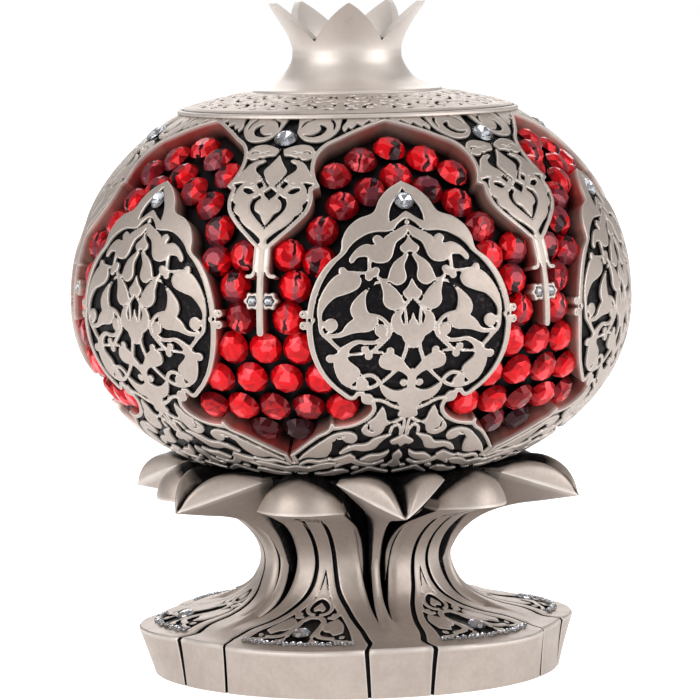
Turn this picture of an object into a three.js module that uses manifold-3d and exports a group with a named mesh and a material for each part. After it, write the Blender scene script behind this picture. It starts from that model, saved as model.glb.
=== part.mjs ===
// Pomegranate table ornament: a cast fruit with a sunk seed bed, a crowned cap on it, and a petalled
// stand under it, set with small clear crystals. Millimetres, +Z up. The origin is the middle of the
// plinth's underside. Azimuth 0 points along -Y and grows towards +X, in degrees.

import * as THREE from 'three';
import { mergeVertices } from 'three/addons/utils/BufferGeometryUtils.js';
import Module from 'manifold-3d';

const wasm = await Module();
wasm.setup();

const SECTORS = 6;
const SECTOR = 360 / SECTORS;
const HALF_SECTOR = SECTOR / 2;
const GAP = 0.3;

// The fruit is a round body whose upper half rises further than its lower half falls.
const FRUIT_RADIUS = 74;
const FRUIT_MIDDLE = 98;
const FRUIT_RISE = 60;
const FRUIT_FALL = 50;
const FRUIT_FULLNESS = 2.1;
const FRUIT_FOOT = 55;
const FRUIT_TOP = 147.4;
const FRUIT_SEGMENTS = 36;
const FRUIT_ROWS = 9;
const BED_DEPTH = 5.5;
const CORE_FOOT_RADIUS = 36;
const CORE_TOP_RADIUS = 38;
const CORE_LOW = 58;
const CORE_HIGH = 147.4;
const WEDGE_NEAR = 8;
const WEDGE_FAR = 130;
const OVERLAP = 0.1;

// Half outlines on the fruit's surface: distance from the centre line along the surface, and height.
const MEDALLION_EDGE = [
  [0, 132.2],
  [6.3, 127.8],
  [8.2, 124.8],
  [15, 121.2],
  [17.4, 115.4],
  [23.2, 109.6],
  [26.4, 101],
  [26, 91.5],
  [21, 82.6],
  [13.6, 77.9],
  [10.6, 79.3],
  [9, 76.8],
  [11.6, 72.4],
  [17.6, 70.8],
  [19.3, 72.2],
  [20.6, 70],
];
const BAND_END = 65.2;
const BAND_FOOT = 50;

const PENDANT_EDGE = [
  [0.8, 95.6],
  [0.8, 110],
  [3.6, 109.6],
  [2.1, 116.8],
  [8.1, 122.2],
  [11.2, 128.2],
  [10.6, 130.6],
  [12.4, 131.2],
  [9.8, 136],
  [9.8, 138.6],
  [11.4, 140.9],
];
// The arch over each medallion, measured from the medallion's centre line, from its side to its peak.
const ARCH_EDGE = [
  [15.4, 142.2],
  [7.6, 144.8],
  [0, 146.7],
];
const BAND_CROWN = 150;

// The figure-of-eight rosettes on the pendant stems.
const ROSETTE_HEIGHT = 103.4;
const ROSETTE_RADIUS = 2;
const ROSETTE_OFFSET = 2.2;
const ROSETTE_SINK = 1.4;

// Clear crystals, each a flat-backed stone with a flat table.
const STONE_SIDES = 8;
const STONE_TABLE = 0.6;
const MEDALLION_STONE = { radius: 2.5, height: 1.4, sink: 1.2, level: 127.6 };
const PENDANT_STONE = { radius: 3, height: 1.7, sink: 1, level: 142.7 };
const ROSETTE_STONE = { radius: 1.2, height: 0.7 };
const FOOT_STONE = { radius: 2.5, height: 1.4, sink: 0.8, along: 0.2 };

// The cap: a shallow dome with a double rim, a fillet, and the crown above its waist.
const CAP_PROFILE = [
  [0, 147.7],
  [41, 147.7],
  [42, 148.2],
  [41.8, 149.2],
  [40.2, 150],
  [30, 152.1],
  [24.9, 152.6],
  [24.2, 153.2],
  [17.2, 156.3],
  [15.1, 159.5],
  [14.3, 163.2],
];
const CROWN_PETALS = 5;
const CROWN_SEGMENTS = 30;
const CROWN_TURN = -10;
const CROWN_WAIST = 163.2;
const CROWN_NOTCH = 165.6;
const CROWN_TIP = 176;
const CROWN_WAIST_RADIUS = 14.3;
const CROWN_FLARE = 7.3;
const CROWN_FLARE_POWER = 1.35;
const CROWN_WALL = 1.8;
const CROWN_STATIONS = 2;
const CUP_FLOOR = 158;
const CUP_FLOOR_RADIUS = 10.5;

// The stand's plinth: wide bowed sectors under the pendants, narrow flat ones under the medallions.
const PLINTH_FOOT_RADIUS = 53.4;
const PLINTH_RIM_RADIUS = 54.3;
const PLINTH_RIM = 12.5;
const PLINTH_TOP_RADIUS = 50.6;
const PLINTH_TOP = 13.2;
const PLINTH_BOW = 3;
const PLINTH_NARROW = 7.5;
const PLINTH_SEGMENTS = 48;

// The stem, from the plinth to the seat that the fruit stands in.
const STEM_PROFILE = [
  [0, 8],
  [50.6, 8],
  [50.6, 13.2],
  [44.5, 16.2],
  [32.1, 19.6],
  [26.8, 24.2],
  [25.1, 28.8],
  [25.9, 32.2],
  [28.7, 36.5],
  [37, 44],
  [42.6, 54.2],
  [42.4, 55.6],
  [0, 55.6],
];
const STEM_SEGMENTS = 36;

// The hollow that the fruit's foot sits in, a gap away from the fruit all round.
const DISH_PROFILE = [
  [0, FRUIT_FOOT - GAP],
  [40.4, FRUIT_FOOT - GAP],
  [43.4, 56],
  [47.4, 58],
  [54.4, 62],
  [0, 62],
];

// The tapering gaps cut on both sides of each narrow rib: height, inner edge, outer edge, floor radius.
const RIB_GAPS = [
  [15.4, 3, 3.4, 44],
  [19.6, 2.8, 4.7, 29],
  [24.8, 2.6, 6.8, 21.5],
  [31, 2.6, 7.8, 20.5],
  [38.4, 3, 10.4, 25.5],
  [50, 3.4, 14, 37],
];
const GAP_REACH = 70;


// The broad rolled petals at the heads of the broad ribs.
const PETAL_HALF_WIDTH = 11.8;
const PETAL_REACH = 53;
const PETAL_CORNER_REACH = 45.1;
const PETAL_LIP = 46.7;
const PETAL_CROWN = 10;
const PETAL_ROOT = 40;
const PETAL_FOOT_RADIUS = 31.5;
const PETAL_FOOT = 38.4;
const PETAL_FOOT_HALF_WIDTH = 11.4;

// The pointed leaves at the heads of the narrow ribs.
const LEAF_HALF_WIDTH = 14.2;
const LEAF_TIP_REACH = 61.8;
const LEAF_TIP = 46.7;
const LEAF_CORNER_REACH = 44.6;
const LEAF_CORNER = 54.2;
const LEAF_BACK_REACH = 40.5;
const LEAF_BACK = 55.6;
const LEAF_CREASE = 1.8;
const LEAF_FOOT_REACH = 31;
const LEAF_FOOT = 38.6;
const LEAF_FOOT_HALF_WIDTH = 1.8;
const LEAF_UNDERSIDE = 44.2;
const INNER_REACH = 20;

const SILVER = new THREE.Color(0xc6bab0);
const CLEAR = new THREE.Color(0xf2f5f7);

const castMetal = () => new THREE.MeshStandardMaterial({ color: SILVER, roughness: 0.42, metalness: 0.35 });
const crystalGlass = () => new THREE.MeshStandardMaterial({ color: CLEAR, roughness: 0.05, metalness: 0 });

const radians = THREE.MathUtils.degToRad;
const lerp = THREE.MathUtils.lerp;

/** A point at an azimuth in degrees, a distance from the axis and a height. */
function polar(azimuth, radius, height) {
  const angle = radians(azimuth);
  return new THREE.Vector3(radius * Math.sin(angle), -radius * Math.cos(angle), height);
}

/** A point beside the radial plane at an azimuth: sideways distance, distance out, height. */
function beside(azimuth, sideways, reach, height) {
  return new THREE.Vector3(sideways, -reach, height).applyAxisAngle(new THREE.Vector3(0, 0, 1), radians(azimuth));
}

/** Moves every vertex of a geometry by a function and leaves only its merged positions. */
function reshape(geometry, place) {
  const bare = geometry.clone();
  bare.deleteAttribute('normal');
  bare.deleteAttribute('uv');
  const position = bare.getAttribute('position');
  const vertex = new THREE.Vector3();
  for (let i = 0; i < position.count; i += 1) {
    vertex.fromBufferAttribute(position, i);
    const placed = place(vertex);
    position.setXYZ(i, placed.x, placed.y, placed.z);
  }
  return mergeVertices(bare, 1e-4);
}

/** The manifold solid of a closed geometry. */
function solid(geometry) {
  const vertProperties = new Float32Array(geometry.getAttribute('position').array);
  const triVerts = new Uint32Array(geometry.index.array);
  return new wasm.Manifold(new wasm.Mesh({ numProp: 3, vertProperties, triVerts }));
}

/** The geometry of a manifold solid. */
function geometryOf(manifold) {
  const mesh = manifold.getMesh();
  const geometry = new THREE.BufferGeometry();
  geometry.setAttribute('position', new THREE.BufferAttribute(mesh.vertProperties, 3));
  geometry.setIndex(new THREE.BufferAttribute(mesh.triVerts, 1));
  return geometry;
}

/** A solid turned from a profile of [radius, height] points, bottom first. */
function turned(profile, segments, place = polar) {
  const points = profile.map(([radius, height]) => new THREE.Vector2(radius, height));
  const lathe = new THREE.LatheGeometry(points, segments);
  return solid(reshape(lathe, (v) => {
    const azimuth = THREE.MathUtils.radToDeg(Math.atan2(v.x, v.z));
    return place(azimuth, Math.hypot(v.x, v.z), v.y);
  }));
}

/** A block of columns and rows bent to a place function of (across 0..1, up 0..1, out 0 or 1). */
function bentBlock(columns, rows, place) {
  const block = new THREE.BoxGeometry(1, 1, 1, columns, rows, 1);
  return solid(reshape(block, (v) => place(v.x + 0.5, v.y + 0.5, v.z + 0.5)));
}


/** The sum of a list of solids. */
function joined(solids) {
  return solids.reduce((sum, next) => sum.add(next));
}

/** One solid for each sector, made for the azimuth of its centre line. */
function aroundAxis(firstAzimuth, make) {
  return Array.from({ length: SECTORS }, (_, k) => make(firstAzimuth + k * SECTOR));
}

/** The fruit's outer radius at a height. */
function fruitRadius(height) {
  const reach = height > FRUIT_MIDDLE ? FRUIT_RISE : FRUIT_FALL;
  const share = Math.abs(height - FRUIT_MIDDLE) / reach;
  return FRUIT_RADIUS * (1 - share ** FRUIT_FULLNESS) ** (1 / FRUIT_FULLNESS);
}

/** The outward normal of the fruit's profile at a height, as [out, up]. */
function fruitNormal(height) {
  const reach = height > FRUIT_MIDDLE ? FRUIT_RISE : FRUIT_FALL;
  const offset = height - FRUIT_MIDDLE;
  const out = fruitRadius(height) ** (FRUIT_FULLNESS - 1) / FRUIT_RADIUS ** FRUIT_FULLNESS;
  const up = Math.sign(offset) * Math.abs(offset) ** (FRUIT_FULLNESS - 1) / reach ** FRUIT_FULLNESS;
  const length = Math.hypot(out, up);
  return [out / length, up / length];
}

/** Heights along the fruit's profile, closer together where it curves in towards its ends. */
function fruitHeights(low, high, rows) {
  const lowAngle = Math.asin((low - FRUIT_MIDDLE) / FRUIT_FALL);
  const highAngle = Math.asin((high - FRUIT_MIDDLE) / FRUIT_RISE);
  return Array.from({ length: rows + 1 }, (_, k) => {
    const angle = lerp(lowAngle, highAngle, k / rows);
    return FRUIT_MIDDLE + Math.sin(angle) * (angle > 0 ? FRUIT_RISE : FRUIT_FALL);
  });
}

/** A cone-sided wedge from the fruit's middle through an outline of [azimuth, height] on its surface. */
function wedge(outline) {
  const shape = new THREE.Shape(outline.map(([azimuth, height]) => new THREE.Vector2(azimuth, height)));
  const prism = new THREE.ExtrudeGeometry(shape, { depth: 1, steps: 1, bevelEnabled: false });
  const middle = new THREE.Vector3(0, 0, FRUIT_MIDDLE);
  return solid(reshape(prism, (v) => {
    const direction = polar(v.x, fruitRadius(v.y), v.y).sub(middle).normalize();
    return direction.multiplyScalar(v.z > 0.5 ? WEDGE_FAR : WEDGE_NEAR).add(middle);
  }));
}

/** A point of a half outline as [azimuth from the centre line, height]. */
function onSurface([along, height]) {
  return [THREE.MathUtils.radToDeg(along / fruitRadius(height)), height];
}

/** A symmetrical outline about an azimuth, from a half outline that starts on or near the centre line. */
function mirrored(half, azimuth) {
  const right = half.map(([offset, height]) => [azimuth + offset, height]);
  const left = half.map(([offset, height]) => [azimuth - offset, height]).reverse();
  return right[0][0] === left[left.length - 1][0] ? [...right, ...left.slice(0, -1)] : [...right, ...left];
}

/** The medallion and its part of the lower band. */
function medallionWedge(azimuth) {
  const edge = HALF_SECTOR + OVERLAP;
  const half = [...MEDALLION_EDGE.map(onSurface), [edge, BAND_END], [edge, BAND_FOOT]];
  return wedge(mirrored(half, azimuth));
}

/** The pendant and its part of the upper band, up to the arches' peaks on both sides. */
function pendantWedge(azimuth) {
  const arch = ARCH_EDGE.map(onSurface).map(([offset, height]) => [HALF_SECTOR - offset, height]);
  arch[arch.length - 1][0] += OVERLAP;
  const half = [...PENDANT_EDGE.map(onSurface), ...arch, [HALF_SECTOR + OVERLAP, BAND_CROWN]];
  return wedge(mirrored(half, azimuth));
}

/** A placement on the fruit: Z along the surface normal, lifted by a height, shifted sideways. */
function onFruit(azimuth, height, lift, sideways = 0) {
  const turn = azimuth + THREE.MathUtils.radToDeg(sideways / fruitRadius(height));
  const [out, up] = fruitNormal(height);
  const normal = polar(turn, out, up);
  const across = polar(turn + 90, 1, 0);
  const along = new THREE.Vector3().crossVectors(normal, across);
  const place = polar(turn, fruitRadius(height), height).addScaledVector(normal, lift);
  return new THREE.Matrix4().makeBasis(across, along, normal).setPosition(place);
}

/** A short round post of a radius between two levels of its own Z, under a placement. */
function post(radius, low, high, placement) {
  const column = new THREE.CylinderGeometry(radius, radius, high - low, STONE_SIDES);
  column.rotateX(Math.PI / 2);
  column.translate(0, 0, (low + high) / 2);
  column.applyMatrix4(placement);
  return solid(reshape(column, (v) => v));
}

/** The two round flowers of a pendant's rosette, standing up from the bed's floor. */
function rosette(azimuth) {
  const flowers = [-1, 1].map((side) => {
    const placement = onFruit(azimuth, ROSETTE_HEIGHT, -ROSETTE_SINK, side * ROSETTE_OFFSET);
    return post(ROSETTE_RADIUS, -BED_DEPTH, 0, placement);
  });
  return joined(flowers);
}

/** The recess that a crystal is set in. */
function seat(stone, placement) {
  return post(stone.radius + GAP, -GAP, 2 * stone.height, placement);
}

function makeFruit() {
  const outerHeights = fruitHeights(FRUIT_FOOT, FRUIT_TOP, FRUIT_ROWS);
  const outerProfile = outerHeights.map((height) => [fruitRadius(height), height]);
  const outer = turned([[0, FRUIT_FOOT], ...outerProfile, [0, FRUIT_TOP]], FRUIT_SEGMENTS);
  const coreProfile = fruitHeights(CORE_LOW, CORE_HIGH, FRUIT_ROWS).map((height) => {
    const [out, up] = fruitNormal(height);
    return [fruitRadius(height) - BED_DEPTH * out, height - BED_DEPTH * up];
  });
  const coreEnds = { foot: [CORE_FOOT_RADIUS, FRUIT_FOOT], top: [CORE_TOP_RADIUS, FRUIT_TOP] };
  const corePath = [[0, FRUIT_FOOT], coreEnds.foot, ...coreProfile, coreEnds.top, [0, FRUIT_TOP]];
  const core = turned(corePath, FRUIT_SEGMENTS);
  const plates = joined([...aroundAxis(0, medallionWedge), ...aroundAxis(HALF_SECTOR, pendantWedge)]);
  const casting = joined([core, outer.intersect(plates), ...aroundAxis(HALF_SECTOR, rosette)]);
  const tipSeats = aroundAxis(0, (azimuth) => seat(MEDALLION_STONE, medallionPlace(azimuth)));
  const headSeats = aroundAxis(HALF_SECTOR, (azimuth) => seat(PENDANT_STONE, pendantPlace(azimuth)));
  return casting.subtract(joined([...tipSeats, ...headSeats]));
}

const medallionPlace = (azimuth) => onFruit(azimuth, MEDALLION_STONE.level, -MEDALLION_STONE.sink);
const pendantPlace = (azimuth) => onFruit(azimuth, PENDANT_STONE.level, -PENDANT_STONE.sink);

/** The height of the crown's edge at an azimuth: pointed petals with notches between them. */
function crownEdge(azimuth) {
  const period = 360 / CROWN_PETALS;
  const offset = THREE.MathUtils.euclideanModulo(azimuth - CROWN_TURN + period / 2, period) - period / 2;
  const share = Math.abs(offset) / (period / 2);
  return lerp(CROWN_TIP, CROWN_NOTCH, share ** 1.15);
}

/** The crown's outer radius at a height above its waist. */
function crownRadius(height) {
  const share = (height - CROWN_WAIST) / (CROWN_TIP - CROWN_WAIST);
  return CROWN_WAIST_RADIUS + CROWN_FLARE * share ** CROWN_FLARE_POWER;
}

function makeCap() {
  const full = CROWN_TIP - CROWN_WAIST;
  const heights = Array.from({ length: CROWN_STATIONS }, (_, k) => CROWN_WAIST + full * (k + 1) / CROWN_STATIONS);
  const outside = heights.map((height) => [crownRadius(height), height]);
  const inside = [...heights].reverse().map((height) => [crownRadius(height) - CROWN_WALL, height]);
  const cup = [[CROWN_WAIST_RADIUS - CROWN_WALL, CROWN_WAIST], [CUP_FLOOR_RADIUS, CUP_FLOOR], [0, CUP_FLOOR]];
  const profile = [...CAP_PROFILE, ...outside, ...inside, ...cup];
  return turned(profile, CROWN_SEGMENTS, (azimuth, radius, height) => {
    const turn = azimuth + CROWN_TURN;
    if (height <= CROWN_WAIST) {
      return polar(turn, radius, height);
    }
    const wall = crownRadius(height) - radius;
    const edge = crownEdge(turn);
    const lowered = lerp(CROWN_WAIST, edge, (height - CROWN_WAIST) / full);
    return polar(turn, crownRadius(lowered) - wall, lowered);
  });
}

/** The plinth's radius at an azimuth, added to a plain ring: bowed under the pendants, else flat. */
function plinthBow(azimuth) {
  const offset = THREE.MathUtils.euclideanModulo(azimuth + HALF_SECTOR, SECTOR) - HALF_SECTOR;
  const wide = HALF_SECTOR - PLINTH_NARROW;
  const share = (HALF_SECTOR - Math.abs(offset)) / wide;
  return share < 1 ? PLINTH_BOW * (1 - share ** 2) : 0;
}

function makePlinth() {
  const profile = [
    [0, 0],
    [PLINTH_FOOT_RADIUS, 0],
    [PLINTH_RIM_RADIUS, PLINTH_RIM],
    [PLINTH_TOP_RADIUS, PLINTH_TOP],
    [0, PLINTH_TOP],
  ];
  return turned(profile, PLINTH_SEGMENTS, (azimuth, radius, height) => {
    const bow = radius > 0 ? plinthBow(azimuth) : 0;
    return polar(azimuth, radius + bow, height);
  });
}

/** One of the two tapering gaps beside a narrow rib. */
function ribGap(azimuth, side) {
  const rows = RIB_GAPS.length - 1;
  return bentBlock(1, rows, (across, up, out) => {
    const [height, inner, outer, floor] = RIB_GAPS[Math.round(up * rows)];
    const offset = side > 0 ? lerp(inner, outer, across) : -lerp(outer, inner, across);
    return polar(azimuth + offset, out > 0.5 ? GAP_REACH : floor, height);
  });
}


/** A point of a petal's or leaf's surface, or, for out 0, its root inside the stem, which is narrower. */
function rooted(azimuth, sideways, reach, height, out) {
  const share = out > 0.5 ? 1 : INNER_REACH / reach;
  return beside(azimuth, sideways * share, reach * share, height);
}

/** A broad petal: its face rises from the stem to the lip, and its dome rolls back to the root. */
function petal(azimuth) {
  const rows = 6;
  const columns = 6;
  const lipShare = 1 / 3;
  return bentBlock(columns, rows, (across, up, out) => {
    const side = 2 * across - 1;
    const lipReach = PETAL_REACH - (PETAL_REACH - PETAL_CORNER_REACH) * Math.abs(side) ** 2.2;
    const crown = PETAL_CROWN * Math.sqrt(1 - 0.88 * side ** 2);
    if (up <= lipShare) {
      const share = up / lipShare;
      const width = lerp(PETAL_FOOT_HALF_WIDTH, PETAL_HALF_WIDTH, share);
      const foot = Math.sqrt(PETAL_FOOT_RADIUS ** 2 - (PETAL_FOOT_HALF_WIDTH * side) ** 2);
      const reach = lerp(foot, lipReach, share ** 1.5);
      const height = lerp(PETAL_FOOT, PETAL_LIP, share);
      return rooted(azimuth, side * width, reach, height, out);
    }
    const turn = (up - lipShare) / (1 - lipShare) * Math.PI / 2;
    const reach = lerp(PETAL_ROOT, lipReach, Math.cos(turn));
    const height = PETAL_LIP + crown * Math.sin(turn);
    const width = PETAL_HALF_WIDTH * (1 - 0.12 * Math.sin(turn));
    return rooted(azimuth, side * width, reach, height, out);
  });
}

/** A pointed leaf: two convex lobes with a crease between them, over a keel that joins the narrow rib. */
function leaf(azimuth) {
  const rows = 5;
  const columns = 8;
  const edgeShare = 0.4;
  return bentBlock(columns, rows, (across, up, out) => {
    const side = 2 * across - 1;
    const away = Math.abs(side);
    const edgeReach = lerp(LEAF_TIP_REACH, LEAF_CORNER_REACH, away ** 1.15);
    const edgeHeight = lerp(LEAF_TIP, LEAF_CORNER, away ** 1.1);
    if (up <= edgeShare) {
      const share = up / edgeShare;
      const width = lerp(LEAF_FOOT_HALF_WIDTH, LEAF_HALF_WIDTH, share ** 1.6);
      const reach = lerp(LEAF_FOOT_REACH, edgeReach, share ** 1.2);
      const under = lerp(LEAF_FOOT, LEAF_UNDERSIDE, Math.sin(share * Math.PI / 2));
      const height = lerp(under, edgeHeight, share ** 4);
      return rooted(azimuth, side * width, reach, height, out);
    }
    const turn = (up - edgeShare) / (1 - edgeShare) * Math.PI / 2;
    const crease = LEAF_CREASE * Math.sin(2 * turn) * Math.exp(-((away / 0.22) ** 2));
    const reach = lerp(LEAF_BACK_REACH, edgeReach, Math.cos(turn)) - crease;
    const height = lerp(edgeHeight, LEAF_BACK, Math.sin(turn)) - crease;
    const width = LEAF_HALF_WIDTH * (1 - 0.1 * Math.sin(turn));
    return rooted(azimuth, side * width, reach, height, out);
  });
}

/** The placement of a crystal on the foot's slope under a pendant. */
function footPlace(azimuth) {
  const [low, high] = [STEM_PROFILE[2], STEM_PROFILE[3]];
  const slope = Math.atan2(high[1] - low[1], low[0] - high[0]);
  const normal = polar(azimuth, Math.sin(slope), Math.cos(slope));
  const acrossSlope = polar(azimuth + 90, 1, 0);
  const alongSlope = new THREE.Vector3().crossVectors(normal, acrossSlope);
  const share = 1 - FOOT_STONE.along;
  const place = polar(azimuth, lerp(low[0], high[0], share), lerp(low[1], high[1], share));
  place.addScaledVector(normal, -FOOT_STONE.sink);
  return new THREE.Matrix4().makeBasis(acrossSlope, alongSlope, normal).setPosition(place);
}

function makeStand() {
  const stem = turned(STEM_PROFILE, STEM_SEGMENTS);
  const gaps = [-1, 1].flatMap((side) => aroundAxis(0, (azimuth) => ribGap(azimuth, side)));
  const seats = aroundAxis(HALF_SECTOR, (azimuth) => seat(FOOT_STONE, footPlace(azimuth)));
  const heads = joined([...aroundAxis(0, leaf), ...aroundAxis(HALF_SECTOR, petal)]);
  const dish = turned(DISH_PROFILE, FRUIT_SEGMENTS);
  const ribbed = joined([stem.subtract(joined(gaps)), makePlinth(), heads]);
  return ribbed.subtract(joined([dish, ...seats]));
}

/** A flat-backed round stone, its back GAP above the placement's floor. */
function stoneGeometry(stone, placement) {
  const table = stone.radius * STONE_TABLE;
  const cut = new THREE.CylinderGeometry(table, stone.radius, stone.height, STONE_SIDES);
  cut.rotateX(Math.PI / 2);
  cut.translate(0, 0, stone.height / 2);
  cut.applyMatrix4(placement);
  return reshape(cut, (v) => v);
}

const ornament = new THREE.Group();

/** Adds a named mesh to the ornament. */
function addMesh(name, geometry, material) {
  const mesh = new THREE.Mesh(geometry, material);
  mesh.name = name;
  ornament.add(mesh);
}

addMesh('stand', geometryOf(makeStand()), castMetal());
addMesh('fruit', geometryOf(makeFruit()), castMetal());
addMesh('cap', geometryOf(makeCap()), castMetal());

const rosettePlace = (azimuth, side) => {
  return onFruit(azimuth, ROSETTE_HEIGHT, GAP - ROSETTE_SINK, side * ROSETTE_OFFSET);
};
for (let k = 0; k < SECTORS; k += 1) {
  const medallion = k * SECTOR;
  const pendant = medallion + HALF_SECTOR;
  addMesh(`crystal_medallion_${k + 1}`, stoneGeometry(MEDALLION_STONE, medallionPlace(medallion)), crystalGlass());
  addMesh(`crystal_pendant_${k + 1}`, stoneGeometry(PENDANT_STONE, pendantPlace(pendant)), crystalGlass());
  addMesh(`crystal_foot_${k + 1}`, stoneGeometry(FOOT_STONE, footPlace(pendant)), crystalGlass());
  addMesh(`crystal_rosette_${k + 1}_left`, stoneGeometry(ROSETTE_STONE, rosettePlace(pendant, -1)), crystalGlass());
  addMesh(`crystal_rosette_${k + 1}_right`, stoneGeometry(ROSETTE_STONE, rosettePlace(pendant, 1)), crystalGlass());
}

export default ornament;
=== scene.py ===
"""Pomegranate table ornament: a cast silver-painted fruit with a pierced, engraved shell over a bed of
red seed stones, a crowned cap, a petalled stand and small clear crystals. Millimetres are used for the
shapes and turned into metres when a mesh is made. Azimuth 0 points along -Y and grows towards +X."""

import math

import bpy
import numpy as np
from mathutils import Matrix, Vector


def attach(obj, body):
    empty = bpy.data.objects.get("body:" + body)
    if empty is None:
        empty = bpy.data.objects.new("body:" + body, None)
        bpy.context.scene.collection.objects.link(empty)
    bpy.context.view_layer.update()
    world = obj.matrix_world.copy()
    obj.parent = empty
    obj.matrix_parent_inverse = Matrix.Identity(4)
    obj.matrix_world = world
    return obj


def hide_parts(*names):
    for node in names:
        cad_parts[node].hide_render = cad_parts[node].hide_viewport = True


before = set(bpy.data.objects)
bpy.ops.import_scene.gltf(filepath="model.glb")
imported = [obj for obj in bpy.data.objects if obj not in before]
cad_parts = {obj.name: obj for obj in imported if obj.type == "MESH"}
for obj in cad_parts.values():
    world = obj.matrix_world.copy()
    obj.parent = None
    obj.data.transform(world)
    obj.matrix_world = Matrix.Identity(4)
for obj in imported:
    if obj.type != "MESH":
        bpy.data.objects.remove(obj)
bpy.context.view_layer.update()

MM = 0.001
SECTORS = 6
SECTOR = 60.0
HALF_SECTOR = 30.0
rng = np.random.default_rng(613)

# ---------------------------------------------------------------- camera, floor and lights

CAMERA_PLACE = (-0.2391, -1.1249, 0.196)
CAMERA_AIM = (0.0, 0.0, 0.084)
CAMERA_LENS = 224.7
CAMERA_ROLL = math.radians(-1.0)
CAMERA_SHIFT = -0.0029
WORLD_LIGHT = 0.34


def make_camera():
    """A long lens in front of the ornament and a little to its left, turned by a slight roll."""
    data = bpy.data.cameras.new("camera")
    data.lens = CAMERA_LENS
    data.sensor_width = 36.0
    data.shift_x = CAMERA_SHIFT
    data.clip_start = 0.05
    camera = bpy.data.objects.new("camera", data)
    look = (Vector(CAMERA_AIM) - Vector(CAMERA_PLACE)).to_track_quat("-Z", "Y").to_matrix().to_4x4()
    camera.matrix_world = Matrix.Translation(CAMERA_PLACE) @ look @ Matrix.Rotation(CAMERA_ROLL, 4, "Z")
    bpy.context.scene.collection.objects.link(camera)
    bpy.context.scene.camera = camera


def area_light(name, place, aim, width, height, power, tint=(1.0, 1.0, 1.0)):
    """A soft rectangular lamp at a place, turned so that it shines on its aim."""
    data = bpy.data.lights.new(name, "AREA")
    data.shape = "RECTANGLE"
    data.size = width
    data.size_y = height
    data.energy = power
    data.color = tint
    lamp = bpy.data.objects.new(name, data)
    turn = (Vector(aim) - Vector(place)).to_track_quat("-Z", "Y").to_matrix().to_4x4()
    lamp.matrix_world = Matrix.Translation(place) @ turn
    bpy.context.scene.collection.objects.link(lamp)


def make_world():
    """An even pale light from all round."""
    world = bpy.data.worlds.new("studio")
    bpy.context.scene.world = world
    world.use_nodes = True
    tree = world.node_tree
    background = tree.nodes["Background"]
    background.inputs["Color"].default_value = (1.0, 1.0, 1.0, 1.0)
    seen = tree.nodes.new("ShaderNodeLightPath")
    share = tree.nodes.new("ShaderNodeMapRange")
    share.inputs[3].default_value, share.inputs[4].default_value = WORLD_LIGHT, 1.0
    tree.links.new(seen.outputs["Is Camera Ray"], share.inputs[0])
    tree.links.new(share.outputs[0], background.inputs["Strength"])


# ---------------------------------------------------------------- mesh helpers


def unit(vectors):
    """Vectors divided by their own length."""
    return vectors / np.maximum(np.linalg.norm(vectors, axis=-1, keepdims=True), 1e-9)


def polar(azimuth, radius, height):
    """Points at azimuths in degrees, distances from the axis and heights."""
    angle = np.radians(azimuth)
    return np.stack(np.broadcast_arrays(radius * np.sin(angle), -radius * np.cos(angle), height), -1)


def turn_about_axis(points, azimuth):
    """Points turned about the upright axis by an azimuth in degrees."""
    c, s = math.cos(math.radians(azimuth)), math.sin(math.radians(azimuth))
    return points @ np.array([[c, s, 0.0], [-s, c, 0.0], [0.0, 0.0, 1.0]])


def make_piece(name, points, faces, material, attributes=None, crease=35.0, replaces=(), backs=None):
    """A mesh object from points in millimetres and an array of triangles or quads, riding on the root.
    An attribute has a value for each point or for each face. Backs are a finish and the faces it is on."""
    mesh = bpy.data.meshes.new(name)
    faces = np.asarray(faces)
    count, sides = faces.shape
    mesh.vertices.add(len(points))
    mesh.vertices.foreach_set("co", (np.asarray(points) * MM).astype(np.float32).ravel())
    mesh.loops.add(count * sides)
    mesh.loops.foreach_set("vertex_index", faces.astype(np.int32).ravel())
    mesh.polygons.add(count)
    mesh.polygons.foreach_set("loop_start", np.arange(0, count * sides, sides, dtype=np.int32))
    mesh.update(calc_edges=True)
    mesh.validate()
    for key, values in (attributes or {}).items():
        layer = mesh.attributes.new(key, "FLOAT", "POINT" if len(values) == len(points) else "FACE")
        layer.data.foreach_set("value", np.asarray(values, np.float32))
    if crease is None:
        mesh.polygons.foreach_set("use_smooth", np.zeros(len(mesh.polygons), bool))
    else:
        mesh.polygons.foreach_set("use_smooth", np.ones(len(mesh.polygons), bool))
        mesh.set_sharp_from_angle(angle=math.radians(crease))
    mesh.materials.append(material)
    if backs:
        mesh.materials.append(backs[0])
        mesh.polygons.foreach_set("material_index", np.asarray(backs[1], np.int32))
    piece = bpy.data.objects.new(name, mesh)
    bpy.context.scene.collection.objects.link(piece)
    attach(piece, "root")
    if replaces:
        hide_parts(*replaces)
    return piece


def grid_faces(rows, columns, closed=False):
    """Quads of a grid of points stored row by row; closed joins the last column to the first."""
    wide = columns if closed else columns - 1
    r, c = np.meshgrid(np.arange(rows - 1), np.arange(wide), indexing="ij")
    here = r * columns + c
    side = r * columns + (c + 1) % columns
    return np.stack([here, side, side + columns, here + columns], -1).reshape(-1, 4)


def together(parts):
    """One list of points and faces from several (points, faces) pairs."""
    points, faces, start = [], [], 0
    for one, quads in parts:
        points.append(one)
        faces.append(quads + start)
        start += len(one)
    return np.concatenate(points), np.concatenate(faces)


def lathe(profile_radius, profile_height, columns, place=polar):
    """A closed surface turned from a profile, bottom first, whose first and last radius is 0."""
    azimuth = np.arange(columns) * 360.0 / columns
    radius = np.asarray(profile_radius, float)[:, None]
    height = np.asarray(profile_height, float)[:, None]
    points = place(azimuth[None, :] + 0 * radius, radius + 0 * azimuth, height + 0 * azimuth)
    return points.reshape(-1, 3), grid_faces(len(radius), columns, closed=True)


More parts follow.
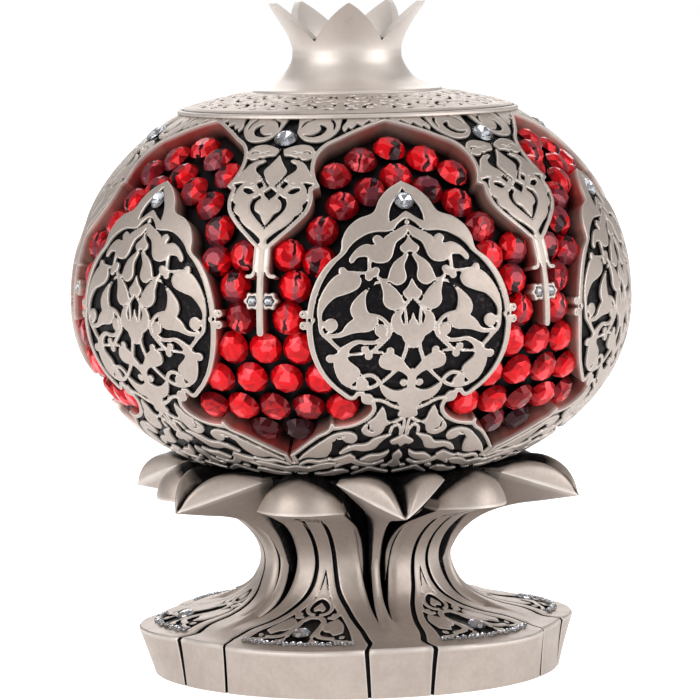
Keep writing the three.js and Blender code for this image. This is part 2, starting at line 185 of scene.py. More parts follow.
def curve(points, closed=False, steps=6, corner=62.0):
    """A smooth line through points: each stretch is a cubic whose end directions halve the turn there.
    Where the line turns by more than the corner angle it stays sharp."""
    p = np.asarray(points, float)
    before, after = np.roll(p, 1, 0), np.roll(p, -1, 0)
    if not closed:
        before[0], after[-1] = 2 * p[0] - p[1], 2 * p[-1] - p[-2]
    arrive, leave = unit(p - before), unit(after - p)
    mean = unit(arrive + leave)
    sharp = ((arrive * leave).sum(1) < math.cos(math.radians(corner)))[:, None]
    arrive, leave = np.where(sharp, arrive, mean), np.where(sharp, leave, mean)
    length = np.linalg.norm(after - p, axis=1)[:, None]
    end, arrive_end = np.roll(p, -1, 0), np.roll(arrive, -1, 0)
    t = (np.arange(steps) / steps)[None, :, None]
    a, b, m0, m1 = p[:, None], end[:, None], (leave * length)[:, None], (arrive_end * length)[:, None]
    line = (2 * t**3 - 3 * t**2 + 1) * a + (t**3 - 2 * t**2 + t) * m0
    line = line + (3 * t**2 - 2 * t**3) * b + (t**3 - t**2) * m1
    if closed:
        return line.reshape(-1, p.shape[1])
    return np.concatenate([line[:-1].reshape(-1, p.shape[1]), p[-1:]])


# ---------------------------------------------------------------- drawing a relief on a chart


def outline_distance(path, x, y):
    """Signed distance to a closed outline: to its nearest side, and negative inside it."""
    best = np.full(x.shape, 1e9)
    inside = np.zeros(x.shape, bool)
    for (ax, ay), (bx, by) in zip(path, np.roll(path, -1, 0)):
        dx, dy = bx - ax, by - ay
        share = np.clip(((x - ax) * dx + (y - ay) * dy) / max(dx * dx + dy * dy, 1e-12), 0, 1)
        best = np.minimum(best, (x - ax - share * dx) ** 2 + (y - ay - share * dy) ** 2)
        if ay != by:
            inside ^= ((ay > y) != (by > y)) & (x < dx * (y - ay) / dy + ax)
    return np.where(inside, -np.sqrt(best), np.sqrt(best))


def stroke_distance(path, radii, x, y):
    """Signed distance to a line with round ends whose half width changes along it."""
    best = np.full(x.shape, 1e9)
    for (ax, ay), (bx, by), ra, rb in zip(path[:-1], path[1:], radii[:-1], radii[1:]):
        dx, dy = bx - ax, by - ay
        share = np.clip(((x - ax) * dx + (y - ay) * dy) / max(dx * dx + dy * dy, 1e-12), 0, 1)
        away = np.hypot(x - ax - share * dx, y - ay - share * dy)
        best = np.minimum(best, away - (ra + share * (rb - ra)))
    return best


def half_mirrored(half):
    """A full outline from the half of it beside the centre line."""
    half = np.asarray(half, float)
    other = half[::-1] * (-1, 1)
    on_line = np.abs(half[[0, -1], 0]) < 1e-6
    return np.concatenate([half, other[int(on_line[1]) : len(other) - int(on_line[0])]])


REACH = 3.0


def draw(marks, x, y, rise):
    """Signed distance to a pattern that is the same on both sides of its centre line. Each mark is
    (kind, points, half widths): a leaf is a closed outline, a heart is half an outline on the centre
    line, a stem is a line, a bead is a disc, and a kind that starts with cut is taken away."""
    field = np.full(x.shape, REACH)
    across = np.abs(x)
    for kind, points, *widths in marks:
        path = np.asarray(points, float).reshape(-1, 2)
        path = np.stack([path[:, 0], rise(path[:, 1])], 1)
        shape = kind.removeprefix("cut ")
        width = widths[0] if widths else 0.0
        if shape == "heart":
            path = curve(half_mirrored(path), closed=True)
        elif shape == "leaf":
            path = curve(path, closed=True)
        elif shape == "stem":
            ends = np.full(2, float(width)) if np.ndim(width) < 1 else np.asarray(width)
            share = np.linspace(0, 1, len(ends))
            path = curve(path, steps=5)
            radii = np.interp(np.linspace(0, 1, len(path)), share, ends)
        widest = float(np.max(width)) if widths else 0.0
        low, high = path.min(0) - REACH - widest, path.max(0) + REACH + widest
        near = (across > low[0]) & (across < high[0]) & (y > low[1]) & (y < high[1])
        if not near.any():
            continue
        if shape == "bead":
            value = np.hypot(across[near] - path[0, 0], y[near] - path[0, 1]) - width
        elif shape == "stem":
            value = stroke_distance(path, radii, across[near], y[near])
        else:
            value = outline_distance(path, across[near], y[near])
        if kind.startswith("cut"):
            field[near] = np.maximum(field[near], -value)
        else:
            field[near] = np.minimum(field[near], value)
    return field


def split(data, tris, column, level, snap=0.03):
    """Cuts the triangles of a sheet along the line where one column of its data has a level. Values
    closer to the level than snap are moved onto it, and a crossed side gets a point between its ends."""
    value = data[:, column] - level
    data[np.abs(value) < snap, column] = level
    sign = np.sign(np.where(np.abs(value) < snap, 0, value)).astype(int)
    value = data[:, column] - level
    ends = np.stack([tris, np.roll(tris, -1, 1)], -1)
    crossed = sign[ends[..., 0]] * sign[ends[..., 1]] < 0
    low, high = ends.min(-1), ends.max(-1)
    keys = low.astype(np.int64) * len(data) + high
    unique, index = np.unique(keys[crossed], return_inverse=True)
    a, b = unique // len(data), unique % len(data)
    share = (value[a] / (value[a] - value[b]))[:, None]
    added = data[a] + (data[b] - data[a]) * share
    added[:, column] = level
    new = np.zeros(tris.shape, int)
    new[crossed] = index + len(data)
    number = crossed.sum(1)
    whole = tris[number == 0]
    once = number == 1
    first = np.argmax(crossed[once], 1)
    turn = (first[:, None] + np.arange(3)) % 3
    corner, edge = np.take_along_axis(tris[once], turn, 1), np.take_along_axis(new[once], turn, 1)
    single = [np.stack([corner[:, 0], edge[:, 0], corner[:, 2]], 1),
              np.stack([edge[:, 0], corner[:, 1], corner[:, 2]], 1)]
    twice = number == 2
    lone = (np.argmin(crossed[twice], 1) + 2) % 3
    turn = (lone[:, None] + np.arange(3)) % 3
    corner, edge = np.take_along_axis(tris[twice], turn, 1), np.take_along_axis(new[twice], turn, 1)
    double = [np.stack([corner[:, 0], edge[:, 0], edge[:, 2]], 1),
              np.stack([edge[:, 0], corner[:, 1], edge[:, 2]], 1),
              np.stack([corner[:, 1], corner[:, 2], edge[:, 2]], 1)]
    return np.concatenate([data, added]), np.concatenate([whole, *single, *double])


def even_rows(low, high, step):
    """Evenly spaced rows from low to high, as many as bring their distance nearest to the step."""
    return np.linspace(low, high, int(round((high - low) / step)) + 1)


def sheet_grid(half_width, rows, columns):
    """A sheet of points [across, along] with triangles whose diagonals alternate, so that its two
    halves mirror each other. The number of its columns of quads is made even."""
    wide = 2 * (columns // 2) + 1
    across, along = np.meshgrid(np.linspace(-half_width, half_width, wide), rows)
    quads = grid_faces(len(rows), wide)
    row, column = np.divmod(quads[:, 0], wide)
    even = ((row + column) % 2 == 0)[:, None]
    one = np.where(even, quads[:, [0, 1, 2]], quads[:, [0, 1, 3]])
    two = np.where(even, quads[:, [0, 2, 3]], quads[:, [1, 2, 3]])
    return across.ravel(), along.ravel(), np.concatenate([one, two])


# Columns of a sheet's data, the last two on the stand only.
AZIMUTH, ALONG, EDGE, RAISED, GAPS, PANEL = range(6)
# A relief's rounded shoulder and steep wall, by their width, and the depth of its ground.
SHOULDER, WALL_RUN, GROUND = 0.22, 0.12, 1.15


def boundary_sides(tris):
    """The sides that only one triangle has, in that triangle's direction."""
    sides = np.concatenate([tris[:, [0, 1]], tris[:, [1, 2]], tris[:, [2, 0]]])
    key = np.sort(sides, 1)
    _, index, count = np.unique(key, axis=0, return_index=True, return_counts=True)
    return sides[index[count == 1]]


def closed_plate(top, tris, inward):
    """A plate closed below: walls go from the rim of its top to that rim's inner points, which the
    function inward gives from the rim's indices, and its underside joins those to their own middle."""
    sides = boundary_sides(tris)
    rim = np.unique(sides)
    low = inward(rim)
    where = np.zeros(len(top), int)
    where[rim] = np.arange(len(rim)) + len(top)
    walls = np.concatenate([np.stack([sides[:, 1], sides[:, 0], where[sides[:, 0]]], 1),
                            np.stack([sides[:, 1], where[sides[:, 0]], where[sides[:, 1]]], 1)])
    hub = len(top) + len(rim)
    floor = np.stack([where[sides[:, 1]], where[sides[:, 0]], np.full(len(sides), hub)], 1)
    return np.concatenate([top, low, low.mean(0, keepdims=True)]), np.concatenate([tris, walls, floor])


def relief_heights(raised, edge, ground):
    """Height of a relief: 0 on top, a rounded shoulder, a steep wall and then the ground."""
    shoulder = np.clip((raised + SHOULDER) / SHOULDER, 0, 1)
    wall = np.clip(raised / WALL_RUN, 0, 1)
    rounded = np.clip((edge + SHOULDER) / SHOULDER, 0, 1)
    return -0.13 * shoulder**2 - (ground - 0.13) * wall - 0.13 * rounded**2 * (1 - wall)


def relief_sheet(azimuth, along, tris, edge, raised):
    """The part of a sheet inside its outline, cut along the outline and the relief's edges."""
    data = np.stack([azimuth, along, edge, raised], 1)
    tris = tris[(edge[tris] < 1.2).any(1)]
    data, tris = split(data, tris, EDGE, 0.0)
    tris = tris[(data[tris, EDGE] <= 0).all(1)]
    for level in (-SHOULDER, 0.0, WALL_RUN):
        data, tris = split(data, tris, RAISED, level)
    data, tris = split(data, tris, EDGE, -SHOULDER)
    used, tris = np.unique(tris, return_inverse=True)
    return data[used], tris.reshape(-1, 3)


# ---------------------------------------------------------------- the fruit's surface

FRUIT_RADIUS, FRUIT_MIDDLE, FRUIT_RISE, FRUIT_FALL, FRUIT_FULLNESS = 74.0, 98.0, 60.0, 50.0, 2.1
FRUIT_FOOT, FRUIT_TOP, BED_DEPTH = 55.0, 147.4, 5.5


def fruit_radius(height):
    """A superellipse: the radius at a height, with a taller upper half than its lower half."""
    reach = np.where(height > FRUIT_MIDDLE, FRUIT_RISE, FRUIT_FALL)
    share = np.abs(height - FRUIT_MIDDLE) / reach
    return FRUIT_RADIUS * np.maximum(1 - share**FRUIT_FULLNESS, 0) ** (1 / FRUIT_FULLNESS)


def fruit_normal(height):
    """The profile's outward direction at a height, from the superellipse's slope: out and up."""
    reach = np.where(height > FRUIT_MIDDLE, FRUIT_RISE, FRUIT_FALL)
    offset = height - FRUIT_MIDDLE
    power = FRUIT_FULLNESS - 1
    out = fruit_radius(height) ** power / FRUIT_RADIUS**FRUIT_FULLNESS
    up = np.sign(offset) * np.abs(offset) ** power / reach**FRUIT_FULLNESS
    length = np.hypot(out, up)
    return out / length, up / length


FRUIT_HEIGHTS = np.linspace(FRUIT_FOOT, FRUIT_TOP, 3000)
FRUIT_RADII = fruit_radius(FRUIT_HEIGHTS)
FRUIT_ARCS = np.concatenate([[0.0], np.cumsum(np.hypot(np.diff(FRUIT_HEIGHTS), np.diff(FRUIT_RADII)))])


def fruit_arc(height):
    """Distance along the fruit's profile from its foot to a height, carried straight on at its ends."""
    height = np.asarray(height, float)
    inside = np.interp(height, FRUIT_HEIGHTS, FRUIT_ARCS)
    return inside + np.minimum(height - FRUIT_FOOT, 0) + np.maximum(height - FRUIT_TOP, 0) * 2


def fruit_height(arc):
    """Height on the fruit at a length along its outline."""
    return np.interp(arc, FRUIT_ARCS, FRUIT_HEIGHTS)


def degrees_beside(offset, height):
    """Degrees about the axis that a sideways distance on the fruit takes up at a height."""
    return math.degrees(offset / float(fruit_radius(np.array(height))))


def fruit_points(azimuth, height, lift=0.0):
    """Points on the fruit lifted along its normals, and those normals."""
    out, up = fruit_normal(height)
    normal = polar(azimuth, out, up)
    return polar(azimuth, fruit_radius(height), height) + normal * np.asarray(lift)[..., None], normal


# Marks of the medallion: half patterns beside its centre line, [distance along the surface, height].
MEDALLION_PLATE = [
    (0, 132.2), (3.8, 130.2), (6.3, 127.8), (8.2, 124.8), (12.2, 123.3), (15, 121.2), (16.7, 118.4),
    (17.4, 115.4), (20.4, 113), (23.2, 109.6), (25.2, 105.6), (26.4, 101), (26.7, 96.5), (26, 91.5),
    (24, 86.6), (21, 82.6), (17.5, 79.6), (14.6, 78), (13.7, 78.4), (13, 79.4), (12.3, 79.2),
    (12.2, 77.8), (11.2, 76.9), (9.6, 76.8), (9.2, 75.2), (11.2, 72.6), (14, 71.2), (18, 70.7),
    (19.1, 72.4), (19.4, 69.8), (22, 68), (25, 65), (27.8, 62.2), (33, 60.4), (60, 60.4), (60, 20), (0, 20),
]
MEDALLION_FIELD = [
    (0, 123.3), (2, 122.3), (4.2, 120.4), (8, 120.2), (10, 119.8), (12, 118.9), (14, 117.6),
    (15.3, 116.3), (16.1, 115.2), (18, 113.6), (20.3, 111.2), (22.2, 108.5), (23.7, 105.3),
    (24.7, 102), (25.3, 97), (25.1, 94), (24.4, 90.4), (23, 87), (20.6, 83.3), (18.5, 81),
    (15.5, 79.2), (14, 77.4), (16, 70), (60, 66), (60, 20), (0, 20),
]
MEDALLION_MARKS = [
    ("cut heart", [(0, 130.7), (1.2, 129), (2.4, 127.8), (3.6, 126.2), (4.3, 124.3), (4.5, 122.3),
                   (2.4, 123.4), (0.7, 124.6), (0, 124.9)]),
    ("bead", [(0, 122.4)], 0.55),
    ("leaf", [(0, 121.9), (2, 120.9), (4, 119.9), (5.6, 119.1), (6.4, 118.4), (7, 119), (8, 119.4),
              (9.1, 118.5), (8.9, 117.6), (8.3, 116.9), (9.3, 116.9), (10.8, 117.2), (12.5, 116.6),
              (14.2, 115.2), (15.4, 113.4), (15.3, 112.7), (14.7, 112.5), (13.2, 114), (12, 114.2),
              (10.8, 114.1), (9.8, 113.1), (8.6, 112.6), (7.2, 112.5), (5.6, 113), (4.6, 114.2),
              (4, 115.8), (3.3, 117.4), (2.2, 118.2), (1.2, 118.8), (0.3, 119.8), (-0.2, 120.7)]),
    ("stem", [(10.4, 113.5), (10.6, 110.2)], 0.4),
    ("heart", [(0, 119.2), (0.5, 118.2), (1.3, 117.3), (2.3, 116.5), (2.4, 115.9), (1.8, 115.1),
               (1.1, 114.8), (0.4, 115.3)]),
    ("leaf", [(0.2, 114.9), (1.2, 114.6), (2.4, 113.9), (4, 112.8), (5.1, 111.3), (5.7, 109.8),
              (6, 108.6), (5.2, 107.6), (3.8, 107), (2.4, 107.4), (1.5, 108.4), (1.4, 109.6),
              (1.7, 111), (1.6, 112.2), (1, 113.3)]),
    ("heart", [(0, 108.7), (0.5, 107.6), (1.4, 106.2), (2.3, 105.4), (2.4, 104.8), (1.9, 104),
               (1, 103.7), (0, 103.9)]),
    ("stem", [(0.1, 104.1), (2.3, 101.7)], 0.4),
    ("leaf", [(7.5, 108.1), (6.3, 107.6), (4.8, 106.6), (3.4, 105), (2.5, 103.4), (2.3, 102),
              (3.6, 101.1), (5.3, 100.9), (6.8, 101.7), (7.5, 103), (7.4, 105), (7.7, 106.6), (8, 107.8)]),
    ("bead", [(8.9, 110.7)], 0.9), ("bead", [(10.8, 109.1)], 0.9), ("bead", [(9.7, 109.9)], 0.8),
    ("stem", [(5.8, 108.4), (7.4, 108.3), (9.3, 109.9)], 0.35),
    ("stem", [(10.6, 110.2), (16.2, 110.4)], 0.35),
    ("bead", [(17.2, 110.8)], 0.95),
    ("leaf", [(13.6, 109.8), (12.8, 108.9), (12.8, 107.8), (13.6, 106.5), (15.2, 105.6), (17.2, 104.9),
              (19.2, 104.3), (20.5, 103.4), (21.8, 102), (22.8, 100.3), (23, 98.8), (23.8, 98.6),
              (24, 100), (23.8, 102.2), (23, 104.6), (21.7, 106.8), (20, 108.8), (18.5, 109.9),
              (16, 110.5)]),
    ("stem", [(23.4, 99.2), (23.3, 97), (22.9, 95.4), (21.3, 93.9), (20, 92.6), (18.6, 91.3)], 0.45),
    ("bead", [(20.6, 97.4)], 1.65), ("stem", [(21, 97.6), (23.2, 97.8)], 0.6),
    ("leaf", [(8.6, 107.9), (10, 107), (12, 105.9), (14, 104.2), (15.2, 102.8), (15.7, 101.4),
              (15.6, 100.2), (14.9, 98.9), (16.2, 98), (17.2, 96.9), (17.8, 95.9), (19, 95.3),
              (20.5, 95.2), (22.2, 95.6), (21.3, 94.3), (20, 94.2), (18.4, 94.3), (17, 94.7),
              (15.5, 95.2), (13.5, 95.5), (11.5, 95.6), (10.5, 96), (9.6, 97), (8.7, 98.1), (9.1, 99),
              (10.3, 99.6), (11.4, 100.6), (11.8, 102), (11.9, 103.6), (11.6, 105), (10.6, 106.4),
              (9.6, 107.2)]),
    ("stem", [(7.4, 108.2), (9, 107.7)], 0.35),
    ("bead", [(8.2, 95.8)], 1.55),
    ("stem", [(10.6, 99.7), (8.6, 99.2), (6.9, 97.8), (5.9, 96), (6.1, 94.6), (7.5, 93), (9, 91.6),
              (10, 90.8)], 0.45),
    ("stem", [(7.2, 94.6), (7.9, 93.9), (9.6, 92.9), (12, 92.9), (14.2, 93.1), (16.4, 92.2),
              (18, 91.2)], 0.45),
    ("leaf", [(14, 93.5), (16, 92.9), (17.8, 91.6), (19.2, 90.2), (19.9, 89.9), (21, 89.9), (21.8, 89.2),
              (21.6, 88.3), (20.6, 87.9), (19.9, 88.1), (19.7, 86.6), (19, 84.6), (17.9, 82.9), (16, 81.5),
              (14.4, 81.1), (15.2, 82), (14.4, 82.9), (13.4, 84.2), (13.1, 85.2), (13.6, 86.2), (15, 87.4),
              (16.3, 88.6), (16.5, 89.6), (16, 91), (15, 92), (13.6, 92.7)]),
    ("stem", [(12.5, 90.1), (16.5, 89.9)], 0.32),
    ("bead", [(12.2, 91.2)], 0.9), ("bead", [(11.2, 89.4)], 0.95), ("bead", [(11.6, 90.4)], 0.7),
    ("stem", [(11, 90.6), (7.8, 90.2)], 0.32),
    ("bead", [(5.8, 90.6)], 0.95),
    ("leaf", [(-0.3, 84.6), (0.2, 85.2), (1.2, 86.4), (2.2, 87.6), (3, 88.5), (4.7, 89.7), (7, 90),
              (8.2, 89.2),
              (8.6, 88), (8.3, 86.9), (7.2, 86.1), (5.6, 85.7), (3.4, 85.4), (2.2, 84.8), (1.2, 83.9),
              (0.3, 83.2), (-0.3, 83)]),
    ("stem", [(4.2, 85.6), (6, 83.9), (7.6, 82.5)], 0.4),
    ("leaf", [(2.2, 101.6), (3.6, 100.8), (4.8, 100), (5.5, 98.8), (5.6, 97.6), (5.2, 96), (4.2, 94.9),
              (2.9, 94.2), (2.4, 93), (1.4, 92.2), (0.9, 91.5), (-0.6, 91), (-0.6, 97), (2.4, 97),
              (3, 98.3), (3.1, 99.6), (2.6, 100.8)]),
    ("stem", [(2.2, 101.6), (1.9, 99.5), (1.6, 97)], 0.36),
    ("heart", [(0, 100.2), (0.5, 98.6), (1.1, 97), (1.1, 95), (0, 94)]),
    ("stem", [(1.5, 92.8), (1.8, 91), (2.8, 88)], 0.45),
    ("bead", [(2, 82.3)], 0.95), ("stem", [(0, 85), (0, 80)], 1.0),
    ("heart", [(0, 80.9), (1.4, 80.8), (2.2, 80.4), (3.6, 80.2), (5, 80.5), (6.4, 81.3), (8, 82.4),
               (7.8, 81), (7, 79.5), (5.6, 78.1), (4, 77.4), (3.2, 77.2), (2.6, 76.4), (1.5, 75.4),
               (0, 74.8)]),
    ("stem", [(0, 74.4), (2, 75.3), (4.5, 76.3), (7, 77.6), (9.5, 78)], 0.42),
    ("heart", [(0, 75.2), (1.6, 75), (2.5, 74), (2.4, 73.3), (1.4, 73.1), (0, 73)]),
    ("bead", [(12.4, 82.2)], 1.5),
    ("stem", [(8, 82.3), (9, 83.7), (10.6, 84.5), (12.2, 84.2), (13.6, 83)], 0.45),
    ("stem", [(8, 82.3), (10, 81.3), (12.4, 80.9), (15, 81.4)], 0.45),
    ("bead", [(10.9, 78.3)], 1.45),
    ("leaf", [(24.4, 98.7), (26, 100.7), (27.7, 98.7), (26, 96.7)]),
    ("bead", [(27.5, 100.1)], 1.0), ("bead", [(27.5, 97.3)], 1.0),
    ("cut bead", [(26, 98.7)], 0.55), ("cut bead", [(27.6, 100.1)], 0.36),
                  ("cut bead", [(27.6, 97.3)], 0.36),
    # The lower band.
    ("stem", [(0, 73.4), (1.6, 72.4), (3.4, 71.6)], 0.4),
    ("stem", [(0.6, 72.2), (0.4, 70), (0.8, 68)], 0.35),
    ("stem", [(0.8, 68), (1, 69.6), (2, 71), (3.2, 70.4), (3.6, 68.8)], 0.38),
    ("leaf", [(6.6, 76.2), (7.6, 74.4), (8.2, 73.2), (9.4, 72.2), (10.6, 70.8), (11, 69.6), (10, 68.4),
              (8, 67.8), (6, 68.6), (5.4, 69.8), (5.2, 70.6), (3.3, 71.6), (4.8, 72), (5.6, 74),
              (6.1, 75.2)]),
    ("cut stem", [(9.3, 71.2), (9.2, 69.8), (8, 69.3)], 0.32),
    ("heart", [(0, 68), (1.5, 67.2), (3.2, 66.2), (2.2, 65.2), (1, 65.6), (0, 64.6)]),
    ("leaf", [(2.8, 68.4), (4.8, 68), (7.2, 67.2), (9, 65.6), (11.6, 65.4), (14, 64.4), (15.4, 62.6),
              (14, 62.9), (12, 63.9), (9.4, 63.6), (6.8, 64), (5.6, 65.8), (4.4, 67.2)]),
    ("leaf", [(11.6, 67), (12.4, 68.5), (14.8, 69.2), (18, 68.4), (20, 66.8), (22, 65), (24, 62.8),
              (25.4, 60.4), (22.8, 61.8), (20.4, 61.6), (18, 62), (17.4, 64), (17.8, 66.4), (15.4, 67.2),
              (14, 66.2), (12.4, 65.9)]),
    ("cut stem", [(15, 68), (16.6, 67.5), (17, 66)], 0.3),
    ("leaf", [(10.4, 61.4), (12.4, 62.6), (14.4, 61.6), (16.4, 60.9), (14.4, 60), (12, 60.4)]),
    ("leaf", [(2.4, 63.6), (4.4, 62.4), (7, 62.2), (9.4, 60.8), (7, 60.2), (4.6, 60.8), (3, 62)]),
    ("stem", [(17, 61), (19.6, 60.2), (22.4, 60.4), (24, 59.4)], (0.5, 0.8, 0.5)),
    ("heart", [(0, 63.4), (1.2, 62), (0.8, 60.4), (1.6, 59), (0, 58.2)]),
    ("stem", [(3.4, 60.2), (5.6, 59.2), (8.4, 59.4), (11, 60.6), (13.2, 59.8),
              (14.6, 58.8)], (0.5, 0.85, 0.5)),
    ("bead", [(9.6, 58.2)], 0.95), ("bead", [(2.4, 58.6)], 0.8),
    ("leaf", [(14.6, 59.8), (16.8, 60), (19.4, 59.4), (21.6, 58.4), (23.4, 58.6), (25.2, 58.9),
              (23.8, 57.4),
              (21.4, 57), (18.6, 57.8), (16.2, 58.4)]),
    ("stem", [(1, 56.6), (3.6, 57.2), (6, 57.9), (7.6, 57), (9.4, 56.2)], (0.6, 0.9, 0.5)),
    ("leaf", [(10.6, 57), (12.4, 57.8), (14.6, 57.5), (16.6, 56.6), (19.4, 56.4), (18.4, 55.6),
              (14.2, 55.8)]),
    ("leaf", [(20.6, 56.5), (23, 56.3), (25, 56.7), (24.6, 55.7), (22.4, 55.4)]),
]
MEDALLION_RIM = 0.95
MEDALLION_KNOBS = (100.1, 97.3)
# Above the seam's foot a medallion's plate stops half a seam short of its sector's edge.
SEAM_FOOT, SEAM_HALF = 59.6, 0.45

# Marks of the pendant and of the band between the arches, beside the pendant's centre line.
PENDANT_PLATE = [
    (0, 115.4), (2.1, 116.8), (4.8, 119.2), (8.1, 122.2), (10.6, 125.3), (11.2, 128.2), (10.6, 130.6),
    (12.4, 131.2), (10.8, 133.4), (9.8, 136), (9.8, 138.6), (11.2, 140.9),
]
ARCH_LINE = [(12.6, 142.6), (9.6, 143.8), (6.4, 144.9), (3.2, 145.9), (0, 146.7), (-4, 147.2)]
PENDANT_MARKS = [
    ("leaf", [(2.6, 143.9), (2.2, 145.4), (1.2, 147.9), (12.4, 147.9), (12.6, 146.2), (12.9, 145.2),
              (12.4, 143.9),
              (11, 142.6), (9.6, 142), (7.4, 141.9), (5.2, 142.3), (3.8, 143)]),
    ("cut stem", [(4.2, 143.6), (6.4, 143.3), (8.2, 143.8), (8.9, 145),
                  (7.6, 145.9)], (0.25, 0.6, 0.95, 0.8, 0.35)),
    ("cut stem", [(3, 145.3), (3.8, 146.6), (5.6, 147.1)], (0.25, 0.5, 0.3)),
    ("cut stem", [(10, 147), (11.2, 146), (11.6, 144.6)], (0.45, 0.35, 0.2)),
    ("leaf", [(0.2, 141), (0.9, 140.2), (2.6, 140.8), (5.1, 141.2), (7.6, 140.7), (8.7, 139.7),
              (8.8, 138.5),
              (7.6, 137.7), (5.9, 137.8), (5.4, 138.4), (4.7, 138.2), (2.9, 138.6), (1.2, 138.7),
              (0.7, 139.6)]),
    ("cut stem", [(3, 139.5), (4.7, 139.2), (5.7, 139.3), (6.9, 139.6), (7.8, 139.1)], 0.27),
    ("heart", [(0, 138.8), (0.9, 137.5), (2, 136.2), (3, 134.9), (2.2, 133.4), (0.9, 131.9), (0, 131.2)]),
    ("leaf", [(3.2, 137.8), (5.4, 137.4), (7.2, 136.6), (8.3, 135.4), (9.1, 134.4), (10.2, 133),
              (11.2, 131.8), (10, 131.9), (8.5, 132.2), (6.6, 132.2), (5, 132.1), (4.1, 132.9),
              (3.5, 133.8),
              (4.4, 134.3), (5.5, 135.4), (5.1, 136.5), (3.5, 137.2)]),
    ("leaf", [(3.2, 133.4), (5.3, 132.1), (3.3, 129.5), (1.2, 131.2)]),
    ("cut leaf", [(3.2, 132.7), (4.4, 132), (3.2, 130.6), (2, 131.4)]),
    ("stem", [(0, 131.4), (1.2, 130.6), (2.5, 129.8), (3.9, 128.9)], 0.42),
    ("stem", [(0.4, 127.9), (1.4, 128.6), (2.5, 129.8)], 0.42),
    ("leaf", [(6.6, 132.2), (8.5, 131.4), (9.4, 129.7), (9.9, 128.5), (9.6, 127.6), (8.8, 126.9),
              (9.1, 126),
              (8.8, 125.1), (7.2, 124), (6.8, 123.2), (5.4, 121.9), (3.2, 120.5), (1.3, 119), (-0.4, 117.2),
              (-0.4, 120.4), (1, 121.9), (2.9, 123.8), (4.4, 125.4), (4.9, 126.9), (4.3, 128.5),
              (3.4, 129.7),
              (5.4, 131.6)]),
    ("cut leaf", [(4.2, 129.6), (5.6, 130.8), (7.4, 131), (7.7, 130.3), (6, 129.4)]),
    ("heart", [(0, 127.7), (1.9, 128.4), (3.1, 127.7), (3.5, 126.6), (3.2, 125.5), (1.9, 124.7),
               (1, 123.2), (0, 121.9)]),
    ("stem", [(0, 117), (0, 120)], 0.8),
    # Foliage in the corners beside the arches, under the cap.
    ("leaf", [(13.5, 145.2), (13.9, 146.6), (13.5, 148.2), (26, 148.6), (26, 148), (23.6, 147.1),
              (22.4, 147.5),
              (20.8, 146.4), (19.4, 146.9), (18.2, 145.7), (16.8, 146.2), (16, 144.9), (14.9, 145.4),
              (14.5, 144.2)]),
]
PENDANT_RIM = 0.95
# Heights of the crystals and rosettes on the fruit, and a rosette's distance from its pendant's stem.
MEDALLION_CRYSTAL, PENDANT_CRYSTAL, ROSETTE = 127.6, 142.7, 103.4
ROSETTE_SIDE = 2.2
# The grid of the fruit's sheets: the distance between its rows, and its columns.
SPACING = 0.62
FRUIT_COLUMNS = 126


def drawn_cuts(marks, kind, x, y):
    """Signed distance to the marks of one kind that cut, drawn as shapes of their own."""
    return draw([(one.removeprefix("cut "), *rest) for one, *rest in marks if one == kind], x, y, fruit_arc)


def medallion_sheet():
    """A medallion with its share of the lower band, as a sheet cut out of the fruit's surface."""
    rows = even_rows(float(fruit_arc(FRUIT_FOOT)), float(fruit_arc(133.2)), SPACING)
    azimuth, along, tris = sheet_grid(HALF_SECTOR, rows, FRUIT_COLUMNS)
    x = np.radians(azimuth) * fruit_radius(fruit_height(along))
    knobs = [("bead", [(27.5, height)], 1.0) for height in MEDALLION_KNOBS]
    plate = [("heart", MEDALLION_PLATE), *knobs]
    edge = draw(plate, x, along, fruit_arc)
    seam = (HALF_SECTOR - np.abs(azimuth)) * math.pi / 180 * fruit_radius(fruit_height(along))
    split_line = np.where(fruit_height(along) > SEAM_FOOT, SEAM_HALF - seam, -REACH)
    edge = np.maximum(edge, split_line)
    border = -draw([("heart", MEDALLION_FIELD)], x, along, fruit_arc)
    raised = np.minimum(border, -edge - MEDALLION_RIM)
    raised = np.minimum(raised, draw(MEDALLION_MARKS, x, along, fruit_arc))
    raised = np.maximum(raised, -drawn_cuts(MEDALLION_MARKS, "cut heart", x, along))
    raised = np.maximum(raised, -drawn_cuts(MEDALLION_MARKS, "cut bead", x, along))
    return relief_sheet(azimuth, along, tris, edge, raised)


def pendant_sheet():
    """A pendant with its share of the band between the arches."""
    rows = even_rows(float(fruit_arc(94.6)), float(fruit_arc(FRUIT_TOP)), SPACING)
    azimuth, along, tris = sheet_grid(HALF_SECTOR, rows, FRUIT_COLUMNS)
    height = fruit_height(along)
    x = np.radians(azimuth) * fruit_radius(height)
    arch = [(math.radians(HALF_SECTOR) * float(fruit_radius(np.array(z))) - s, z) for s, z in ARCH_LINE]
    top = [(60, 148.4), (60, 170), (0, 170)]
    body = [("heart", [*PENDANT_PLATE, *arch, *top]),
            ("stem", [(0, 95.4), (0, 117)], 0.8),
            ("stem", [(1.6, 117.4), (1.65, 113), (1.75, 110.4), (2.4, 109.6), (3.6, 109.5)], 0.45)]
    edge = draw(body, x, along, fruit_arc)
    rim = -edge - PENDANT_RIM
    seat = np.hypot(x, along - fruit_arc(PENDANT_CRYSTAL)) - 3.4
    raised = np.minimum(rim, draw(PENDANT_MARKS, x, along, fruit_arc))
    raised = np.maximum(raised, -seat)
    return relief_sheet(azimuth, along, tris, edge, raised)


# ---------------------------------------------------------------- finishes


